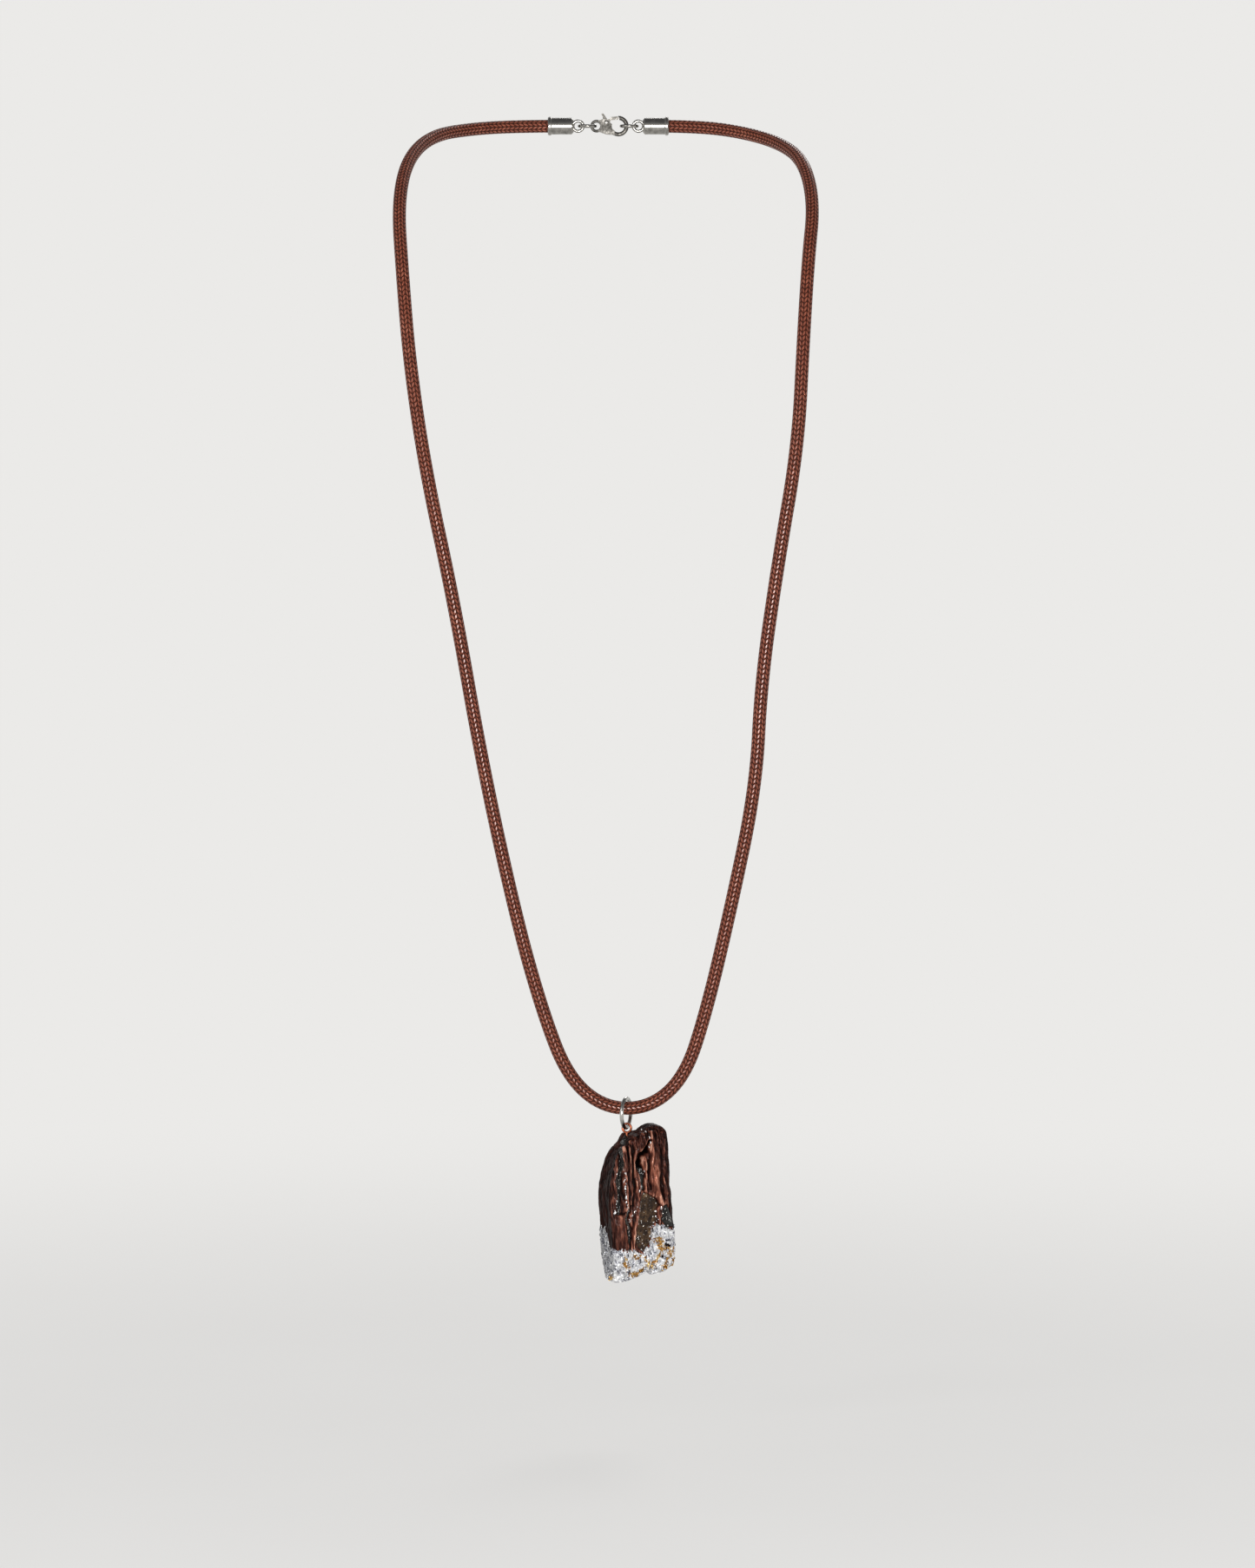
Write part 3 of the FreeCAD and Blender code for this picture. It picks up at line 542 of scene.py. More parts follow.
# The bark's figure: slow swells, ropy grain, fine pits, and the wander of every line drawn on it.
swell = grain(3.2, 3.0, 11.3)
ropes = 1 - np.abs(grain(1.15, 7.0, 3.1, octaves=4, lean=0.10)) * 2.2
pits = grain(0.45, 2.0, 7.7, octaves=2)
wander = grain(2.4, 1.8, 21.0, octaves=2) * 0.55
drawn = (ACROSS + wander, DROP + wander * 0.6)

# The beds of the resin are cut nearly flat; the flanks and the back keep only the finer figure.
olive = pool(OLIVE_POOL, *drawn)
side_pool = pool(SIDE_POOL, *drawn)
bed = np.clip(np.maximum(olive, side_pool) / 0.8 + 0.4, 0, 1)
relief = sum(height * stroke(line, width, *drawn) for height, width, line in RIDGES)
relief -= sum(depth * stroke(line, width, *drawn) for depth, width, line in FURROWS)
smooth_block = stroke(SMOOTH_BLOCK, 2.6, *drawn)
big_ridge = stroke(BIG_RIDGE, 1.6, *drawn)
relief += ropes * 0.36 * (1 - 0.75 * np.maximum(smooth_block, big_ridge))
relief = (relief * (1 - 0.85 * bed) - BED_DEPTH * bed) * FRONT
relief += ropes * (0.16 - 0.10 * LEFT) + swell * (0.45 - 0.2 * LEFT) + pits * (0.06 - 0.04 * LEFT)
# The crest and the foot keep their own height.
ends = np.clip(np.minimum(DROP / 1.5, (FOOT - 0.4 - DROP) / 1.0), 0, 1)
relief *= ends
notch = np.exp(-((ACROSS - NOTCH_ACROSS) / 1.3) ** 2) * np.clip((DROP - NOTCH_START) / 3.0, 0, 1)
carved = bare + faces_to * relief[..., None]
carved[..., 2] += notch * NOTCH_HEIGHT
# How proud each place stands of the bark round it.
crests = np.clip((relief - softened(relief, 26)) / 0.5, -1, 1)

# Where the leaf tore and the dark ground shows.
torn = (stroke(((8.4, 35.8), (9.3, 36.5)), 0.8) + stroke(((7.3, 39.2), (7.6, 40.0)), 0.4)) * (FRONT > 0)


def skin(name, grid, kept=None, tones=None, closed=False):
    """A piece made of the grid, or of the part that is kept, with a tone at each place."""
    rows, columns = grid.shape[:2]
    places = grid.reshape(-1, 3) * MM
    across = np.arange(columns)
    beside = (across + 1) % columns
    start = np.arange(rows - 1)[:, None] * columns
    quads = np.stack([start + across, start + columns + across, start + columns + beside, start + beside], 2)
    quads = quads.reshape(-1, 4)
    if kept is not None:
        quads = quads[kept.reshape(-1)[quads].any(axis=1)]
    faces = quads.tolist()
    if closed:
        last = (rows - 1) * columns
        crown, sole = len(places), len(places) + 1
        places = np.vstack([places, places[:columns].mean(axis=0), places[last:].mean(axis=0)])
        faces += [[crown, i, (i + 1) % columns] for i in range(columns)]
        faces += [[sole, last + (i + 1) % columns, last + i] for i in range(columns)]
    used = np.unique(np.concatenate(faces))
    order = np.zeros(len(places), int)
    order[used] = np.arange(len(used))
    piece = mesh_piece(name, places[used], [[int(order[i]) for i in face] for face in faces])
    for tone_name, tone in (tones or {}).items():
        values = np.append(tone.reshape(-1), (tone[0, 0], tone[-1, 0]))
        layer = piece.data.attributes.new(tone_name, "FLOAT", "POINT")
        layer.data.foreach_set("value", values[used].astype(np.float32))
    return piece


def dress_pendant(piece, finish, slot_name, *nodes):
    """Gives a piece of the pendant its finish, sets it on the pendant's body, and hides the solids it stands
    for.
    """
    piece.data.materials.append(finish)
    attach(piece, "pendant")
    if nodes:
        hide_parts(*nodes)


def glazed_bark(tree):
    """Coppery glazed bark with ropy grain; crests painted lighter, as rubbed copper, the big ridge as
    painted highlight; furrows, fissure and flanks painted darker, as painted shade.
    """
    place = add_node(tree, "ShaderNodeTexCoord")
    stretched = add_node(tree, "ShaderNodeMapping", {
        "Vector": place.outputs["Object"], "Scale": (1.0, 1.0, 0.16),
    })
    # Strands of the grain are 0.75 mm wide; the colour clouds over 3 mm.
    strands = add_node(tree, "ShaderNodeTexNoise", {
        "Vector": stretched.outputs["Vector"], "Scale": 1 / (0.75 * MM), "Detail": 6, "Roughness": 0.68,
    })
    cloud = add_node(tree, "ShaderNodeTexNoise", {
        "Vector": place.outputs["Object"], "Scale": 1 / (3 * MM), "Detail": 3,
    })
    crest = add_node(tree, "ShaderNodeAttribute", attribute_name="crest")
    copper_and_highlight = add_node(tree, "ShaderNodeAttribute", attribute_name="copper_and_highlight")
    plain_and_painted_shade = add_node(tree, "ShaderNodeAttribute", attribute_name="plain_and_painted_shade")
    # The tone adds up the grain, the clouds, the crests (lighter crests, painted shade in the furrows) and
    # the rubbed copper with its painted highlight, less the painted shade of the flanks and the fissure.
    grained = add_node(tree, "ShaderNodeMath", {
        0: strands.outputs["Fac"], 1: 0.75, 2: -0.06,
    }, operation="MULTIPLY_ADD")
    clouded = add_node(tree, "ShaderNodeMath", {
        0: cloud.outputs["Fac"], 1: 0.3, 2: grained.outputs[0],
    }, operation="MULTIPLY_ADD")
    # Lighter on the crests, as rubbed copper, and darker in the furrows, as painted shade.
    crest_shaded = add_node(tree, "ShaderNodeMath", {
        0: crest.outputs["Fac"], 1: 0.40, 2: clouded.outputs[0],
    }, operation="MULTIPLY_ADD")
    rubbed = add_node(tree, "ShaderNodeMath", {
        0: copper_and_highlight.outputs["Fac"], 1: 0.26, 2: crest_shaded.outputs[0],
    }, operation="MULTIPLY_ADD")
    tone = add_node(tree, "ShaderNodeMath", {
        0: plain_and_painted_shade.outputs["Fac"], 1: -0.22, 2: rubbed.outputs[0],
    }, operation="MULTIPLY_ADD", use_clamp=True)
    colour = add_node(tree, "ShaderNodeValToRGB", {"Fac": tone.outputs[0]}, stops=(
        (0.05, "#060302"), (0.28, "#180a08"), (0.48, "#341913"), (0.66, "#562e23"),
        (0.85, "#8c523f"), (1.0, "#c48f78"),
    ))
    sheen = add_node(tree, "ShaderNodeMath", {
        0: copper_and_highlight.outputs["Fac"], 1: 0.5,
    }, operation="MULTIPLY", use_clamp=True)
    rough = add_node(tree, "ShaderNodeMapRange", {"Value": tone.outputs[0], "To Min": 0.42, "To Max": 0.28})
    depth = add_node(tree, "ShaderNodeMapRange", {
        "Value": plain_and_painted_shade.outputs["Fac"], "To Min": 0.9, "To Max": 0.2,
    })
    relief_map = add_node(tree, "ShaderNodeBump", {
        "Height": strands.outputs["Fac"], "Strength": depth.outputs["Result"], "Distance": 0.24 * MM,
    })
    # The glaze pooled on the crests and is thin on the flanks and in the clefts.
    proud = add_node(tree, "ShaderNodeMath", {
        0: plain_and_painted_shade.outputs["Fac"], 1: -0.9, 2: crest.outputs["Fac"],
    }, operation="MULTIPLY_ADD")
    glaze = add_node(tree, "ShaderNodeMapRange", {
        "Value": proud.outputs[0], "From Min": -0.2, "To Max": 0.6,
    })
    return add_node(tree, "ShaderNodeBsdfPrincipled", {
        "Base Color": colour.outputs["Color"],
        "Metallic": sheen.outputs[0],
        "Roughness": rough.outputs["Result"],
        "Specular IOR Level": 0.05,
        "Normal": relief_map.outputs["Normal"],
        "Coat Weight": glaze.outputs["Result"],
        "Coat Roughness": 0.12,
        "Coat Normal": relief_map.outputs["Normal"],
    })


def casting_resin(ground, flake_share):
    """Casting resin, glassy and clouded, with near-white metallic flakes in it that show as painted glints.
    """

    def build(tree):
        place = add_node(tree, "ShaderNodeTexCoord")
        cloud = add_node(tree, "ShaderNodeTexNoise", {
            "Vector": place.outputs["Object"], "Scale": 1 / (1.6 * MM), "Detail": 5, "Roughness": 0.62,
        })
        # Flakes are about 0.3 mm across, with ragged edges.
        ragged = add_node(tree, "ShaderNodeTexNoise", {
            "Vector": place.outputs["Object"], "Scale": 1 / (0.25 * MM), "Detail": 2,
        })
        around = add_node(tree, "ShaderNodeVectorMath", {
            0: ragged.outputs["Color"], 1: (0.6 * MM, 0.6 * MM, 0.6 * MM), 2: place.outputs["Object"],
        }, operation="MULTIPLY_ADD")
        flakes = add_node(tree, "ShaderNodeTexVoronoi", {
            "Vector": around.outputs["Vector"], "Scale": 1 / (0.4 * MM),
        })
        pick = add_node(tree, "ShaderNodeSeparateColor", {"Color": flakes.outputs["Color"]})
        chosen = add_node(tree, "ShaderNodeMath", {
            0: pick.outputs["Red"], 1: 1 - flake_share,
        }, operation="GREATER_THAN")
        near = add_node(tree, "ShaderNodeMath", {
            0: flakes.outputs["Distance"], 1: 0.38,
        }, operation="LESS_THAN")
        # Near-white metallic flakes: painted glints.
        glint_speck = add_node(tree, "ShaderNodeMath", {
            0: chosen.outputs[0], 1: near.outputs[0],
        }, operation="MULTIPLY")
        body = add_node(tree, "ShaderNodeValToRGB", {"Fac": cloud.outputs["Fac"]}, stops=ground)
        colour = add_node(tree, "ShaderNodeMix", {
            0: glint_speck.outputs[0], 6: body.outputs["Color"], 7: shade("#efeae4"),
        }, data_type="RGBA")
        height = add_node(tree, "ShaderNodeMath", {
            0: pick.outputs["Green"], 1: 0.35, 2: cloud.outputs["Fac"],
        }, operation="MULTIPLY_ADD")
        wet = add_node(tree, "ShaderNodeBump", {
            "Height": height.outputs[0], "Strength": 0.7, "Distance": 0.14 * MM,
        })
        return add_node(tree, "ShaderNodeBsdfPrincipled", {
            "Base Color": colour.outputs[2],
            "Metallic": glint_speck.outputs[0],
            "Roughness": 0.16,
            "Specular IOR Level": 0.25,
            "Normal": wet.outputs["Normal"],
        })

    return build


# Coppery on the rubbed crests, with a painted highlight down the middle of the big ridge; painted shade on
# the flanks and in the fissure; darker where the leaf tore and at the very top.
bark = skin("bark_piece", carved, closed=True, tones={
    "crest": crests,
    # Rubbed copper on the crests and the smooth block; on the big ridge, lightest at mid drop, a painted
    # highlight.
    "copper_and_highlight": np.clip(
        big_ridge * np.exp(-((DROP - 16) / 8) ** 2) + 0.3 * smooth_block + 0.35 * np.clip(crests, 0, 1),
        0, 1) * FRONT,
    # Painted shade on both flanks and in the fissure; also darker where the leaf tore and at the very top.
    "plain_and_painted_shade": np.clip(
        0.85 * SIDES + 1.6 * softened(stroke(FISSURE[2:6], 0.8, *drawn) + torn, 2)
        + 0.6 * np.exp(-DROP / 2.5),
        0, 1.8),
})
dress_pendant(bark, finish_named("coppery_glazed_bark", glazed_bark), "bark", "bark_core")

# Resin poured into the furrows, its skin a little below the bark's, with a slow wobble.
wobble = grain(1.6, 1.0, 31.0, octaves=2) * 0.16 + grain(0.5, 1.0, 36.0, octaves=2) * 0.07


def poured(level, inside):
    """The resin's skin: level below the bark where it is well inside its rim, sinking away past it."""
    sunk = level + 1.6 * np.clip(-inside / 0.5, 0, 1)
    return bare + faces_to * ((wobble - sunk + swell * 0.4) * ends)[..., None]


olive_resin = finish_named("olive_casting_resin", casting_resin(
    ((0.30, "#0c0704"), (0.46, "#2a1b0f"), (0.60, "#473320"), (0.75, "#7c6246")), 0.06))
smoky_resin = finish_named("smoky_casting_resin", casting_resin(
    ((0.30, "#090807"), (0.46, "#151311"), (0.60, "#2c2925"), (0.74, "#665f58")), 0.12))
fissure = stroke(FISSURE, 1.25, *drawn)
cleft = stroke(CLEFT, 0.8, *drawn)
edge_film = stroke(LEFT_EDGE, 0.75, *drawn) * (FRONT > 0.1)
fissure_fill = np.minimum((fissure - 0.35) * 2, (DROP - 12.8) / 1.5)
# Each pour: the piece, the solid it stands for, its finish, how far its level lies under the bark's
# skin, and how far inside its rim each place is.
POURS = (
    ("resin_in_fissure", "resin_fissure", smoky_resin, 1.2, fissure_fill),
    ("resin_in_patch", "resin_patch", olive_resin, 0.35, olive),
    ("resin_in_cleft", "resin_cleft", smoky_resin, 0.7, (cleft - 0.3) * 2),
    ("resin_on_side", "resin_side", smoky_resin, 0.1, side_pool),
)
for piece_name, node_name, finish, level, inside in POURS:
    dress_pendant(
        skin(piece_name, poured(level, inside), (inside > -0.5) & (FRONT > 0.1)),
        finish, "dark_resin", node_name)
film_rise = 0.34 * np.clip((edge_film - 0.5) / 0.3, -0.6, 1)
dress_pendant(
    skin("resin_film_on_edge", carved + faces_to * (film_rise + wobble * 0.5)[..., None], edge_film > 0.38),
    smoky_resin, "dark_resin")

# Beads of glaze along the rims of the resin, pale and metallic so that each shows as a painted glint, drawn
# as (spacing, size, line).
BEADS = (
    (0.55, 0.17, ((1.5, 1.9), (2.6, 2.4), (3.3, 3.4), (3.5, 4.7), (2.9, 6.8))),
    (0.60, 0.20, ((-4.3, 13.0), (-4.0, 17.0), (-3.6, 21.0), (-3.2, 24.6))),
    (0.70, 0.17, ((1.9, 13.6), (1.3, 15.9), (1.9, 17.5), (0.5, 19.8))),
    (0.60, 0.18, ((5.4, 25.5), (6.1, 28.6), (4.1, 29.9), (4.4, 32.8), (2.3, 33.6), (0.2, 35.1))),
    (0.55, 0.20, ((7.0, 24.7), (8.5, 25.8), (7.8, 27.6), (9.2, 28.1), (9.9, 29.9))),
    (0.60, 0.18, ((-0.2, 24.7), (-2.2, 27.1), (-2.5, 28.9), (-2.2, 32.0), (-2.4, 35.0))),
    (0.75, 0.19, ((-6.0, 21.9), (-6.6, 24.7), (-7.1, 26.5))),
    (0.80, 0.15, ((0.6, 24.6), (0.9, 28.0), (0.2, 32.0))),
)


def glint_beads():
    """Small uneven drops of glaze set on the skin of the piece along each line."""
    rng = random.Random(7)
    front = np.argwhere(FRONT > 0.05)
    spots = np.stack([ACROSS[FRONT > 0.05], DROP[FRONT > 0.05]], axis=1)
    drops = bmesh.new()
    for spacing, size, line in BEADS:
        line = np.array(line)
        runs = np.concatenate([[0], np.cumsum(np.linalg.norm(np.diff(line, axis=0), axis=1))])
        along = 0.0
        while along < runs[-1]:
            spot = [np.interp(along, runs, line[:, k]) + rng.gauss(0, 0.22) for k in (0, 1)]
            row, column = front[np.argmin(((spots - spot) ** 2).sum(axis=1))]
            sunk = 0.35 if olive[row, column] > -0.2 else 0.0
            place = Vector(carved[row, column] + faces_to[row, column] * (sunk - 0.02))
            radius = size * rng.uniform(0.6, 1.7)
            stretch = Matrix.Diagonal((rng.uniform(0.5, 1.1), 0.75, rng.uniform(0.7, 2.2), 1))
            turned = Matrix.Rotation(rng.uniform(-0.7, 0.7), 4, "Y") @ stretch
            drop = bmesh.ops.create_icosphere(
                drops, subdivisions=3, radius=radius * MM, matrix=Matrix.Translation(place * MM) @ turned)
            for corner in drop["verts"]:
                swelling = 1 + 0.7 * noise.noise(corner.co / (0.16 * MM))
                corner.co = place * MM + (corner.co - place * MM) * swelling
            along += spacing * rng.uniform(0.5, 1.4)
    mesh = bpy.data.meshes.new("glint_beads")
    drops.to_mesh(mesh)
    drops.free()
    mesh.polygons.foreach_set("use_smooth", [True] * len(mesh.polygons))
    beads = bpy.data.objects.new("glint_beads", mesh)
    bpy.context.scene.collection.objects.link(beads)
    return beads


def pale_glint_glaze(tree):
    """Drops of glaze over the foil, coloured pale and metallic in place of clear so that each shows as a
    painted glint.
    """
    place = add_node(tree, "ShaderNodeTexCoord")
    cloud = add_node(tree, "ShaderNodeTexNoise", {
        "Vector": place.outputs["Object"], "Scale": 1 / (0.5 * MM), "Detail": 2,
    })
    colour = add_node(tree, "ShaderNodeValToRGB", {"Fac": cloud.outputs["Fac"]}, stops=(
        (0.34, "#7d6c66"), (0.46, "#d5cdca"), (0.56, "#fbfafa"),
    ))
    return add_node(tree, "ShaderNodeBsdfPrincipled", {
        "Base Color": colour.outputs["Color"], "Metallic": 0.7, "Roughness": 0.2,
    })


dress_pendant(glint_beads(), finish_named("pale_glint_glaze_drops", pale_glint_glaze), "dark_resin")

# Gold leaf crushed into the silver, in short wandering flecks: (half width, line).
GOLD = (
    (0.75, ((4.9, 33.9), (6.1, 34.6), (6.9, 36.2), (7.0, 37.7))),
    (0.55, ((7.6, 37.0), (9.1, 37.4), (9.7, 38.9), (9.1, 40.2))),
    (0.60, ((6.9, 38.2), (6.2, 39.4), (5.6, 40.4))),
    (0.60, ((2.2, 39.4), (2.9, 40.9), (3.2, 42.4), (4.6, 43.3))),
    (0.45, ((4.0, 41.4), (4.9, 41.0), (5.4, 42.0))),
    (0.60, ((-2.6, 44.6), (-0.9, 44.5), (0.9, 44.1), (1.6, 43.3))),
    (0.50, ((-3.7, 39.2), (-3.9, 41.1), (-3.2, 43.2))),
    (0.50, ((10.4, 40.3), (10.6, 41.4), (9.9, 42.7))),
    (0.35, ((-2.0, 38.6), (-0.3, 39.6), (1.3, 39.0))),
    (0.36, ((-7.8, 45.4), (-7.5, 46.4))),
    (0.34, ((7.6, 41.4), (8.8, 42.2), (7.4, 43.2))),
)
ragged = grain(0.6, 1.0, 83.0, octaves=4) * 1.1
flecks = np.max([
    stroke(line, width, ACROSS + ragged, DROP - ragged) for width, line in GOLD
], axis=0) * (1.0 + 1.2 * grain(0.45, 1.0, 87.0, octaves=2)) * (FRONT > 0)

# Silver leaf round the foot. Its upper edge on the front is (across, drop).
SILVER_EDGE = np.array([
    (-13.0, 31.2), (-9.6, 31.2), (-8.8, 33.4), (-8.2, 36.9), (-6.0, 36.9), (-3.7, 36.9),
    (-1.1, 37.3), (0.6, 38.4), (1.4, 38.7), (2.4, 36.9), (3.5, 35.9), (4.1, 33.9), (4.0, 32.3),
    (4.6, 30.2), (6.0, 30.0), (7.4, 30.0), (8.6, 31.0), (9.6, 31.2), (11.1, 32.1), (15.0, 32.1),
])
tatters = grain(0.55, 1.0, 61.0, octaves=4) * 1.0 + grain(2.0, 1.0, 67.0, octaves=2) * 0.5
front_edge = np.interp(ACROSS, SILVER_EDGE[:, 0], SILVER_EDGE[:, 1])
back_edge = 31.6 + 1.6 * np.sin(ACROSS * 0.55)
# How far each place lies below the leaf's ragged edge, and whether the leaf lies there.
leaf_depth = DROP + tatters - np.where(faces_to[..., 1] < 0.1, front_edge, back_edge)
lies = np.clip(np.minimum(leaf_depth, (0.5 - torn - tatters * 0.5) * 1.2) / 0.3, -1, 1)
crumple = grain(0.95, 1.0, 71.0, octaves=4)
creases = np.abs(grain(0.8, 1.0, 73.0, octaves=2))
leafed = carved + faces_to * (0.2 * lies + (crumple * 0.22 + creases * 0.3) * np.clip(lies, 0, 1))[..., None]
# Painted shade along the creases of the leaf.
crease_shade_mask = np.clip(1 - creases * 5, 0, 1)
# On the left face the leaf is painted darker, as painted shade.
silver = skin("silver_leaf_skin", leafed, lies > -0.9, tones={
    "crease_shade": crease_shade_mask, "painted_side_shade": 0.55 * LEFT, "gilt": np.clip(2.2 * softened(flecks, 5), 0, 1),
})


def crumpled_leaf(stops, stain, stain_share, metallic):
    """Metal leaf pressed on wet resin: a crush of facets, with painted shade in its creases and dark specks
    of painted reflection.
    """

    def build(tree):
        place = add_node(tree, "ShaderNodeTexCoord")
        # The crush has folds of 1 mm and finer ones inside them, drawn out a little down the piece.
        drawn_out = add_node(tree, "ShaderNodeMapping", {
            "Vector": place.outputs["Object"], "Scale": (1.0, 1.0, 0.55),
        })
        crush = add_node(tree, "ShaderNodeTexNoise", {
            "Vector": drawn_out.outputs["Vector"], "Scale": 1 / (1.0 * MM), "Detail": 5, "Roughness": 0.72,
        })
        # Facets of 0.7 mm, each flat and tilted its own way.
        facets = add_node(tree, "ShaderNodeTexVoronoi", {
            "Vector": place.outputs["Object"], "Scale": 1 / (0.7 * MM),
        })
        from_middle = add_node(tree, "ShaderNodeVectorMath", {
            0: place.outputs["Object"], 1: facets.outputs["Position"],
        }, operation="SUBTRACT")
        tilt = add_node(tree, "ShaderNodeVectorMath", {
            0: facets.outputs["Color"], 1: (0.5, 0.5, 0.5),
        }, operation="SUBTRACT")
        slope = add_node(tree, "ShaderNodeVectorMath", {
            0: from_middle.outputs["Vector"], 1: tilt.outputs["Vector"],
        }, operation="DOT_PRODUCT")
        dull = add_node(tree, "ShaderNodeTexNoise", {
            "Vector": place.outputs["Object"], "Scale": 1 / (1.0 * MM), "Detail": 5, "Roughness": 0.7,
        })
        # The creases are painted darker: painted shade.
        crease_shade = add_node(tree, "ShaderNodeAttribute", attribute_name="crease_shade")
        crush_and_crease_shade = add_node(tree, "ShaderNodeMath", {
            0: crease_shade.outputs["Fac"], 1: -0.08, 2: crush.outputs["Fac"],
        }, operation="MULTIPLY_ADD")
        colour = add_node(tree, "ShaderNodeValToRGB", {"Fac": crush_and_crease_shade.outputs[0]}, stops=stops)
        # The stain keeps to the places where gold was rubbed in.
        gilt = add_node(tree, "ShaderNodeAttribute", attribute_name="gilt")
        rubbed = add_node(tree, "ShaderNodeMath", {
            0: gilt.outputs["Fac"], 1: 0.16, 2: dull.outputs["Fac"],
        }, operation="MULTIPLY_ADD")
        stained = add_node(tree, "ShaderNodeMapRange", {
            "Value": rubbed.outputs[0], "From Min": 0.64, "From Max": 0.70, "To Max": stain_share,
        })
        tinted = add_node(tree, "ShaderNodeMix", {
            0: stained.outputs["Result"], 6: colour.outputs["Color"], 7: shade(stain),
        }, data_type="RGBA")
        # On the left face the leaf is painted darker: painted shade.
        painted_side_shade = add_node(tree, "ShaderNodeAttribute", attribute_name="painted_side_shade")
        side_shaded = add_node(tree, "ShaderNodeMix", {
            0: painted_side_shade.outputs["Fac"], 6: tinted.outputs[2], 7: shade("#2b2c33"),
        }, data_type="RGBA")
        height = add_node(tree, "ShaderNodeMath", {
            0: slope.outputs["Value"], 1: 2.4 / (0.3 * MM), 2: crush.outputs["Fac"],
        }, operation="MULTIPLY_ADD")
        folds = add_node(tree, "ShaderNodeBump", {
            "Height": height.outputs[0], "Strength": 1.0, "Distance": 0.3 * MM,
        })
        return add_node(tree, "ShaderNodeBsdfPrincipled", {
            "Base Color": side_shaded.outputs[2],
            "Metallic": metallic,
            "Roughness": 0.24,
            "Normal": folds.outputs["Normal"],
        })

    return build


# The silver's dark specks are painted reflection of dark surroundings.
dress_pendant(silver, finish_named("crumpled_silver_leaf", crumpled_leaf((
    (0.33, "#24262d"), (0.40, "#8b8c96"), (0.45, "#ecedf5"), (0.50, "#ffffff"),
), "#b98b45", 0.85, 0.25)), "silver_leaf", "silver_leaf")

# The gold has no painted side shade and no stain, so it has no tones for these.
gold_rise = 0.16 * np.clip((flecks - 0.5) / 0.12, -1, 1)
gold = skin(
    "gold_leaf_flecks", leafed + faces_to * gold_rise[..., None],
    (flecks > 0.38) & (FRONT > 0.1), tones={"crease_shade": crease_shade_mask})
dress_pendant(gold, finish_named("crushed_gold_leaf", crumpled_leaf((
    (0.34, "#5d3410"), (0.42, "#b87b2b"), (0.50, "#e8b65c"), (0.58, "#ffe6b0"),
), "#7a5526", 0.0, 0.7)), "gold_leaf", "gold_leaf")

# Floor, backdrop and light.

PALE = "#ebeae8"
# Millimetres from the foot of the pendant down to the floor.
FLOOR_DROP = 45.0


def matte_paper(tree):
    """Pale matt paper that keeps the shadow near the piece and fades into the backdrop."""
    place = add_node(tree, "ShaderNodeTexCoord")
    fibres = add_node(tree, "ShaderNodeTexNoise", {
        "Vector": place.outputs["Object"], "Scale": 9, "Detail": 3,
    })
    colour = add_node(tree, "ShaderNodeValToRGB", {"Fac": fibres.outputs["Fac"]}, stops=(
        (0.3, "#e6e5e3"), (0.7, "#e9e8e6"),
    ))
    paper = add_node(tree, "ShaderNodeBsdfPrincipled", {
        "Base Color": colour.outputs["Color"], "Roughness": 0.9,
    })
    away = add_node(tree, "ShaderNodeVectorMath", {0: place.outputs["Object"]}, operation="LENGTH")
    far = add_node(tree, "ShaderNodeMapRange", {
        "Value": away.outputs["Value"], "From Min": 0.1, "From Max": 0.75, "To Min": 0.55,
    }, interpolation_type="SMOOTHSTEP")
    ray = add_node(tree, "ShaderNodeLightPath")
    seen = add_node(tree, "ShaderNodeMath", {
        0: ray.outputs["Is Camera Ray"], 1: ray.outputs["Is Glossy Ray"],
    }, operation="MAXIMUM")
    fade = add_node(tree, "ShaderNodeMath", {
        0: seen.outputs[0], 1: far.outputs["Result"],
    }, operation="MULTIPLY")
    backdrop = add_node(tree, "ShaderNodeEmission", {"Color": shade(PALE), "Strength": 1.0})
    return add_node(tree, "ShaderNodeMixShader", {
        0: fade.outputs[0], 1: paper.outputs["BSDF"], 2: backdrop.outputs["Emission"],
    })


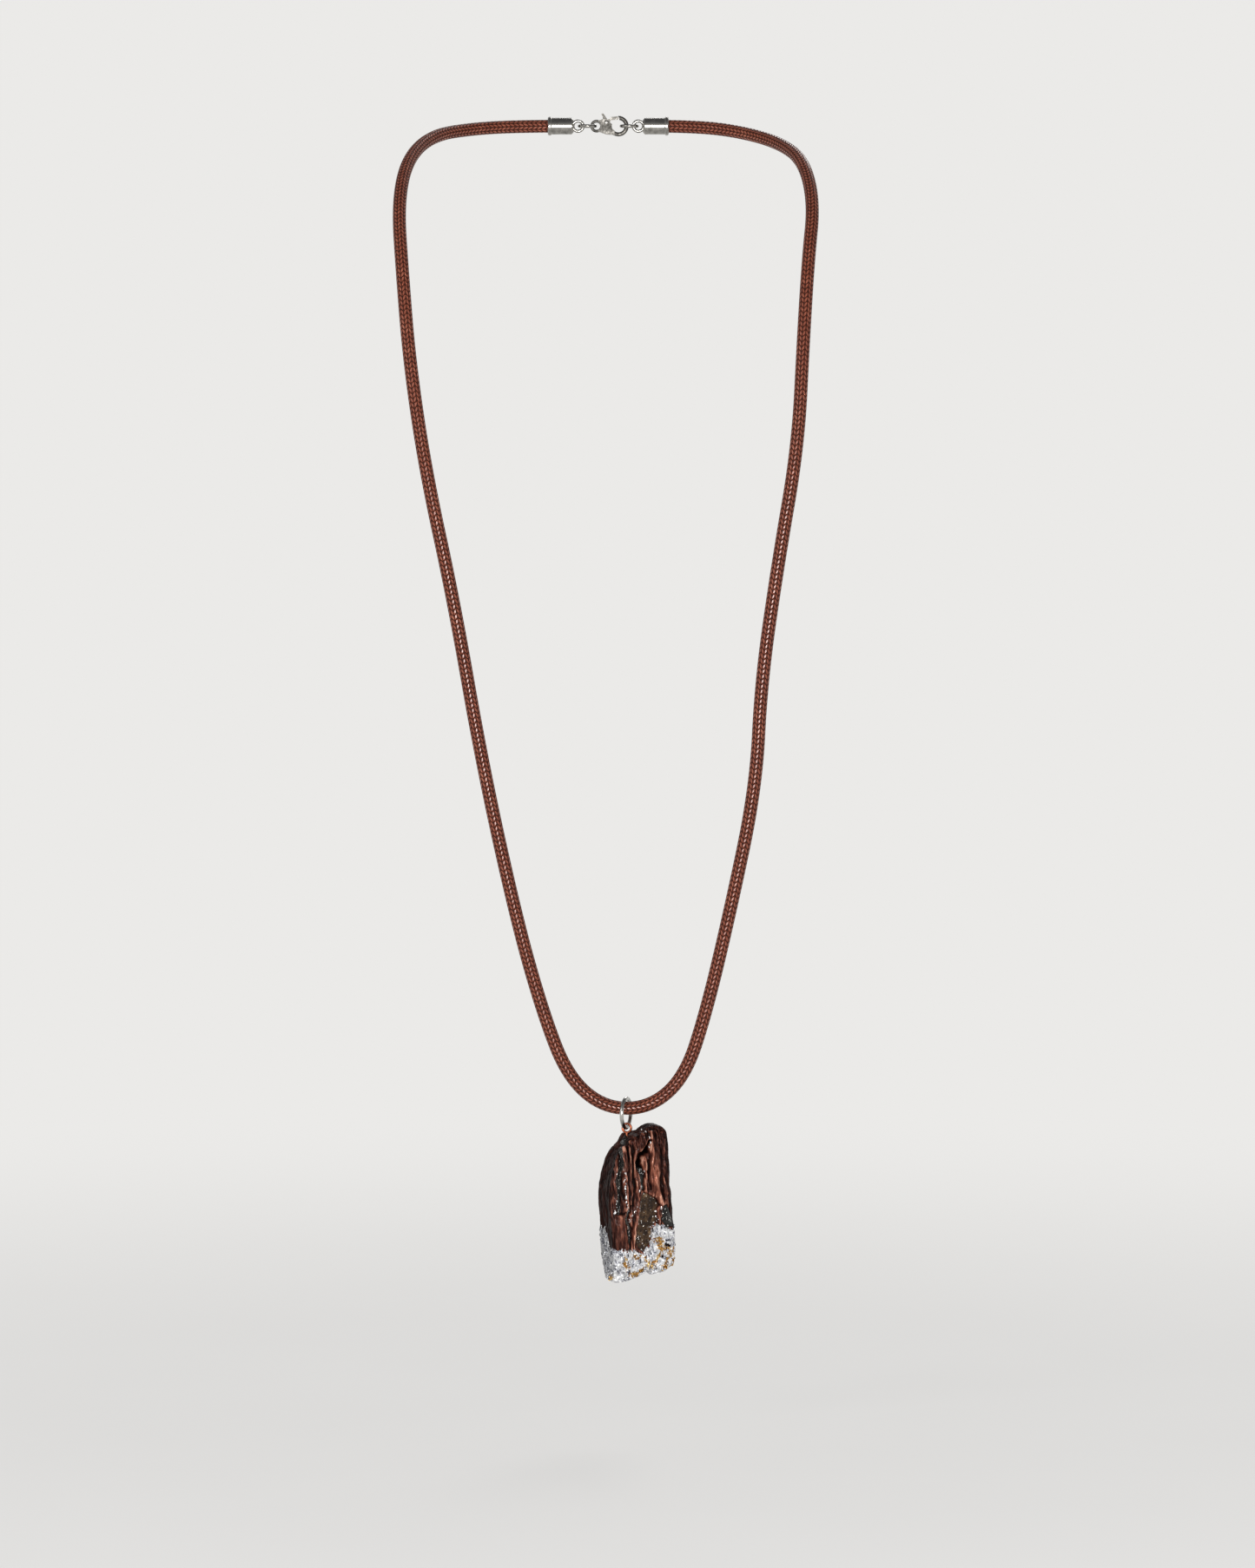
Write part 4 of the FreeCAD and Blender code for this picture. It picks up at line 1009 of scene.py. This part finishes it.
FLOOR_CORNERS = ((-40, -40, 0), (40, -40, 0), (40, 40, 0), (-40, 40, 0))
floor = mesh_piece("floor", FLOOR_CORNERS, [(0, 1, 2, 3)], smooth=False)
floor.location = (0, 0, CAD_BOX[0][2] - FLOOR_DROP * MM)
floor.data.materials.append(finish_named("matte_paper", matte_paper))

world = bpy.data.worlds.new("studio")
world.use_nodes = True
world.node_tree.nodes.clear()
bpy.context.scene.world = world
sky = world.node_tree
ray = add_node(sky, "ShaderNodeLightPath")
seen = add_node(sky, "ShaderNodeMath", {
    0: ray.outputs["Is Camera Ray"], 1: ray.outputs["Is Transmission Ray"],
}, operation="MAXIMUM")
shown = add_node(sky, "ShaderNodeMath", {
    0: seen.outputs[0], 1: ray.outputs["Is Glossy Ray"],
}, operation="MAXIMUM")
# The backdrop is pale round the horizon and dimmer overhead, where the room is.
aim = add_node(sky, "ShaderNodeTexCoord")
height = add_node(sky, "ShaderNodeSeparateXYZ", {0: aim.outputs["Generated"]})
wall = add_node(sky, "ShaderNodeValToRGB", {"Fac": height.outputs["Z"]}, stops=(
    (0.12, PALE), (0.35, "#a5a5a6"), (0.9, "#6c6c6e"),
))
backdrop = add_node(sky, "ShaderNodeBackground", {"Color": wall.outputs["Color"], "Strength": 1.0})
room = add_node(sky, "ShaderNodeBackground", {"Color": shade("#dcdcdd"), "Strength": 0.62})
choice = add_node(sky, "ShaderNodeMixShader", {
    0: shown.outputs[0], 1: room.outputs["Background"], 2: backdrop.outputs["Background"],
})
add_node(sky, "ShaderNodeOutputWorld", {"Surface": choice.outputs["Shader"]})

# Each lamp: its place, width in metres and power in watts.
LAMPS = {
    "key": ((0.03, -1.92, -0.08), 0.34, 22.5),
    "fill": ((-1.3, -1.2, 0.6), 0.8, 5.0),
    "rear": ((0.4, 1.5, 0.9), 0.8, 8.0),
}
for lamp_name, (place, width, power) in LAMPS.items():
    lamp_data = bpy.data.lights.new(lamp_name, "AREA")
    lamp_data.shape = "DISK"
    lamp_data.size = width
    lamp_data.energy = power
    lamp = bpy.data.objects.new(lamp_name, lamp_data)
    bpy.context.scene.collection.objects.link(lamp)
    lamp.location = place
    lamp.rotation_euler = (VIEW_CENTRE - Vector(place)).to_track_quat("-Z", "Y").to_euler()

bpy.context.scene.view_settings.view_transform = "Standard"
